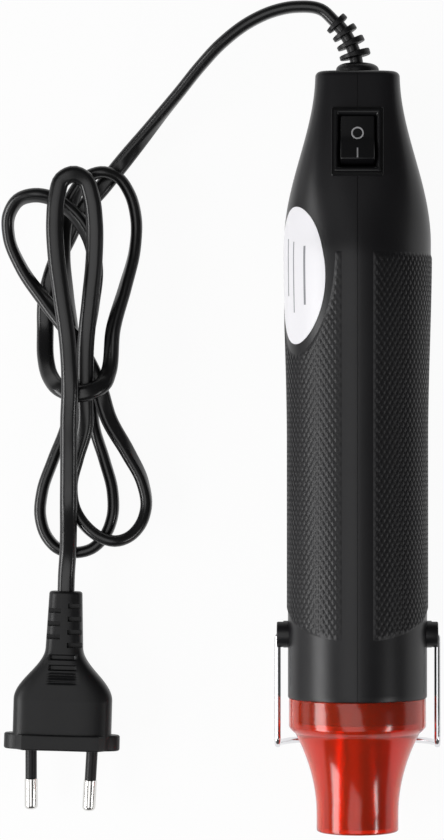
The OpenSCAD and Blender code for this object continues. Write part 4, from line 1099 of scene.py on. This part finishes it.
def flange_rings():
    """The flange: its rounded hexagon outline at each height, drawn in at both faces for rounded edges."""
    q, a = quarter(18), circle(96)
    flat, end_r, high, wide, thick, edge = 11.65, 3.2, 6.85, 17.65, 4.8, 0.6
    inset = edge * (1 - np.sin(q))
    level = edge * (1 - np.cos(q))
    inset, level = np.concatenate([inset, inset[::-1]]), np.concatenate([level, (thick - level)[::-1]])
    # How far the hexagon's edges lie in each direction, and then its round ends where they reach further
    x_end = wide - end_r
    corners = np.array([[flat, high], [x_end, end_r], [x_end, -end_r], [flat, -high],
                        [-flat, -high], [-x_end, -end_r], [-x_end, end_r], [-flat, high]])
    lines = np.roll(corners, -1, axis=0) - corners
    way = np.column_stack([np.cos(a), np.sin(a)])
    det = way[:, None, 0] * lines[None, :, 1] - way[:, None, 1] * lines[None, :, 0]
    det = np.where(np.abs(det) < 1e-9, 1e-9, det)
    far = (corners[None, :, 0] * lines[None, :, 1] - corners[None, :, 1] * lines[None, :, 0]) / det
    straight = np.where(far > 0, far, 1e9).min(1)
    disc = (x_end * np.cos(a)) ** 2 - (x_end ** 2 - end_r ** 2)
    rounded = np.where(disc > 0, x_end * np.abs(np.cos(a)) + np.sqrt(np.maximum(disc, 0)), 0)
    r = np.maximum(straight, rounded)[None, :] - inset[:, None]
    return stack(r * np.cos(a), level[:, None], r * np.sin(a))


def pin_mesh(side, profile, sides=36):
    """A profile of radius and reach turned about one pin's axis, which leans toward the other pin."""
    a = circle(sides)
    r, z = profile[:, :1], profile[:, 1:]
    half_pitch, lean = 9.3, np.radians(1.7) * side
    x, y, up = r * np.cos(a), -(z + 0 * a), r * np.sin(a)
    x, y = x * np.cos(lean) + y * np.sin(lean) + side * half_pitch, y * np.cos(lean) - x * np.sin(lean)
    return on_plug(stack(x, y, up))


class HEATTOOL_OT_plug(Operator):
    """Makes the moulded plug with its flange, finger ribs and slotted boot, its sleeves and its pins"""
    bl_idname = "heattool.plug"
    bl_label = "Plug"

    def execute(self, context):
        v = [4.0, 4.8, 5.4], np.linspace(6, PLUG_LEN - 0.6, 200), [PLUG_LEN - 0.2, PLUG_LEN]
        v = np.concatenate(v)
        body = plug_rings(v)
        body[-2:, :, ::2] *= np.array([0.96, 0.88])[:, None, None]
        self.finger_ribs(body)
        plug = make_piece("plug_moulding", tube(on_plug(body)), "Soft moulding", ("plug_body",))
        carve(plug, self.boot_slots())
        make_piece("plug_flange", tube(on_plug(flange_rings())), "Soft moulding")
        q = quarter()
        end_round, pin_r, core_r = 1.2, 2.0, 1.35
        sleeve = np.array([[1.37, -2.9], [1.75, -2.9], [1.75, 9.1], [1.65, 9.18], [1.37, 9.18]])
        prong = np.concatenate([
            [[core_r, -6.9], [core_r, SLEEVE_END], [1.9, SLEEVE_END], [pin_r, SLEEVE_END + 0.1]],
            np.column_stack([pin_r - end_round * (1 - np.cos(q)), PIN_LEN - end_round * (1 - np.sin(q))]),
        ])
        sleeves = [loop_tube(pin_mesh(side, sleeve)) for side in SIDES.values()]
        prongs = [tube(pin_mesh(side, prong)) for side in SIDES.values()]
        make_piece("plug_sleeves", joined(sleeves), "Soft moulding", ("pin_sleeves",))
        make_piece("plug_prongs", joined(prongs), "Bright nickel", ("plug_pins",))
        return {"FINISHED"}

    @staticmethod
    def finger_ribs(body):
        """Sinks five fine grooves and two finger recesses into both faces of the plug."""
        x, v, z = body[..., 0], body[..., 1], body[..., 2]
        first, pitch, fine_depth, recess_depth = 20.4, 0.75, 0.32, 0.8
        near = 1 - ease((np.abs(x) - 5.4) / 0.9)
        groove = np.zeros_like(v)
        for i in range(5):
            fine = fine_depth * np.exp(-((v - first - pitch * i) / 0.2) ** 2)
            groove += fine * (1 - ease((np.abs(x) - 3.8) / 0.6))
        for centre in (25.1, 28.3):
            recess = recess_depth * (1 - ease((np.abs(v - centre) - 0.5) / 0.45))
            groove += recess * (1 - ease((np.abs(x) - 3.5) / 0.7))
        on_face = ease((np.abs(z) - 2.2) / 1.2)
        body[..., 2] -= np.sign(z) * groove * near * on_face

    @staticmethod
    def boot_slots():
        """The slots over and under the cord that let the boot bend, taken in turn from each side."""
        pitch, long = 3.96, 1.5
        starts = [(1, 31.25 + pitch * i) for i in range(4)] + [(-1, 33.75 + pitch * i) for i in range(3)]
        parts = []
        for side, low in starts:
            for z in (1, -1):
                ends = np.array([[1.1 * side, low, 2.0 * z], [12 * side, low + long, 9 * z]])
                corners, faces = box_mesh(ends.min(0), ends.max(0))
                parts.append((on_plug(corners), faces))
        return parts


class HEATTOOL_OT_inner(Operator):
    """Gives every construction piece that still shows its own finish"""
    bl_idname = "heattool.inner"
    bl_label = "Inner finishes"

    def execute(self, context):
        slots = {row["node"]: row["material_slot"] for row in frame["record"]["subparts"]}
        for name, node in frame["nodes"].items():
            if node.hide_render or slots.get(name) not in INNER:
                continue
            material, slot = dress(slots[name])
            node.data.materials.clear()
            node.data.materials.append(material)
        return {"FINISHED"}


class HEATTOOL_OT_stage(Operator):
    """Sets a white table, a pale room and soft plain light"""
    bl_idname = "heattool.stage"
    bl_label = "Stage"

    def execute(self, context):
        self.table()
        self.world(context)
        self.lamp("Left softbox", (-1.05, -0.3, 0.53), (0, -0.04, 0.02), (1.2, 0.42), 13)
        self.lamp("Top softbox", (-0.3, -0.15, 1.5), (0, -0.03, 0.02), (1.4, 0.9), 6)
        self.lamp("Right strip", (0.8, -0.44, 0.62), (0, -0.09, 0.02), (0.4, 0.14), 1.9)
        return {"FINISHED"}

    @staticmethod
    def sight(tree):
        """1 for rays that show the background: from the camera, and in gloss and glass."""
        rays = tree.nodes.new("ShaderNodeLightPath").outputs
        gloss = math_node(tree, "MAXIMUM", rays["Is Glossy Ray"], rays["Is Transmission Ray"])
        return math_node(tree, "MAXIMUM", rays["Is Camera Ray"], gloss)

    def table(self):
        """A wide flat table, white to the camera but for the tool's soft shadow."""
        half, low = 6, -0.0002
        mesh = bpy.data.meshes.new("table")
        corners = [(x * half, y * half, low) for x, y in ((-1, -1), (1, -1), (1, 1), (-1, 1))]
        mesh.from_pydata(corners, [], [(0, 1, 2, 3)])
        put("table", mesh)
        material = bpy.data.materials.new("White table")
        material.use_nodes = True
        tree = material.node_tree
        shader = tree.nodes["Principled BSDF"]
        shader.inputs["Base Color"].default_value = (0.85, 0.85, 0.85, 1)
        shader.inputs["Roughness"].default_value = 0.8
        shader.inputs["Specular IOR Level"].default_value = 0.1
        glow = tree.nodes.new("ShaderNodeEmission")
        mix = tree.nodes.new("ShaderNodeMixShader")
        shown = 0.95
        share = math_node(tree, "MULTIPLY", self.sight(tree), shown)
        tree.links.new(share, mix.inputs[0])
        tree.links.new(shader.outputs[0], mix.inputs[1])
        tree.links.new(glow.outputs[0], mix.inputs[2])
        tree.links.new(mix.outputs[0], tree.nodes["Material Output"].inputs["Surface"])
        mesh.materials.append(material)

    def world(self, context):
        """A room with a dim ceiling, white where it is seen and, to gloss and glass, at its horizon: the
        ceiling's share of the white falls off over the first few degrees of height."""
        world = bpy.data.worlds.new("Room")
        context.scene.world = world
        world.use_nodes = True
        tree = world.node_tree
        ground = tree.nodes["Background"]
        split = tree.nodes.new("ShaderNodeSeparateXYZ")
        tree.links.new(tree.nodes.new("ShaderNodeTexCoord").outputs["Generated"], split.inputs[0])
        low = tree.nodes.new("ShaderNodeMapRange")
        tree.links.new(split.outputs["Z"], low.inputs["Value"])
        horizon, dim = 0.08, 0.1
        for label, value in (("From Min", 0.0), ("From Max", horizon), ("To Min", 1.0), ("To Max", 0.0)):
            low.inputs[label].default_value = value
        rays = tree.nodes.new("ShaderNodeLightPath").outputs
        seen = math_node(tree, "MULTIPLY", self.sight(tree), low.outputs["Result"])
        seen = math_node(tree, "MAXIMUM", seen, rays["Is Camera Ray"])
        strength = math_node(tree, "ADD", math_node(tree, "MULTIPLY", seen, 1 - dim), dim)
        ground.inputs["Color"].default_value = (1, 1, 1, 1)
        tree.links.new(strength, ground.inputs["Strength"])

    @staticmethod
    def lamp(name, place, target, size, power):
        """A rectangular soft light that faces the target."""
        lamp = bpy.data.lights.new(name, "AREA")
        lamp.shape = "RECTANGLE"
        lamp.size, lamp.size_y = size
        lamp.energy = power
        made = put(name, lamp)
        made.location = place
        way = Vector(target) - Vector(place)
        made.rotation_euler = way.to_track_quat("-Z", "Y").to_euler()


class HEATTOOL_PT_panel(Panel):
    """Lists the sizes, the finishes and the steps that build the tool"""
    bl_label = "Heat tool"
    bl_idname = "HEATTOOL_PT_panel"
    bl_space_type = "VIEW_3D"
    bl_region_type = "UI"
    bl_category = "Heat tool"

    def draw(self, context):
        for name in GROUP_NAMES:
            box = self.layout.box()
            values = getattr(context.scene, name)
            for label in values.__annotations__:
                box.prop(values, label)
        for step in STEPS:
            self.layout.operator(step.bl_idname)


GROUP_NAMES = {
    "heat_grip": GripSizes, "heat_cord": CordSizes, "heat_guard": GuardSizes,
    "heat_signs": SignSizes, "heat_finishes": Finishes,
}
STEPS = (
    HEATTOOL_OT_camera, HEATTOOL_OT_boot, HEATTOOL_OT_plug, HEATTOOL_OT_cord, HEATTOOL_OT_housing,
    HEATTOOL_OT_grip_panels, HEATTOOL_OT_lugs, HEATTOOL_OT_switch, HEATTOOL_OT_label, HEATTOOL_OT_guard,
    HEATTOOL_OT_heater, HEATTOOL_OT_stand, HEATTOOL_OT_inner, HEATTOOL_OT_stage,
)


def register():
    """Registers the sizes, the steps and the panel."""
    for item in (*GROUP_NAMES.values(), *STEPS, HEATTOOL_PT_panel):
        bpy.utils.register_class(item)
    for name, kind in GROUP_NAMES.items():
        setattr(bpy.types.Scene, name, PointerProperty(type=kind))


def unregister():
    """Takes them away again."""
    for name in GROUP_NAMES:
        delattr(bpy.types.Scene, name)
    for item in (HEATTOOL_PT_panel, *reversed(STEPS), *GROUP_NAMES.values()):
        bpy.utils.unregister_class(item)


def main():
    """Builds everything in order."""
    register()
    bpy.context.scene.view_settings.view_transform = "Standard"
    for step in STEPS:
        family, name = step.bl_idname.split(".")
        getattr(getattr(bpy.ops, family), name)()


if __name__ == "__main__":
    main()
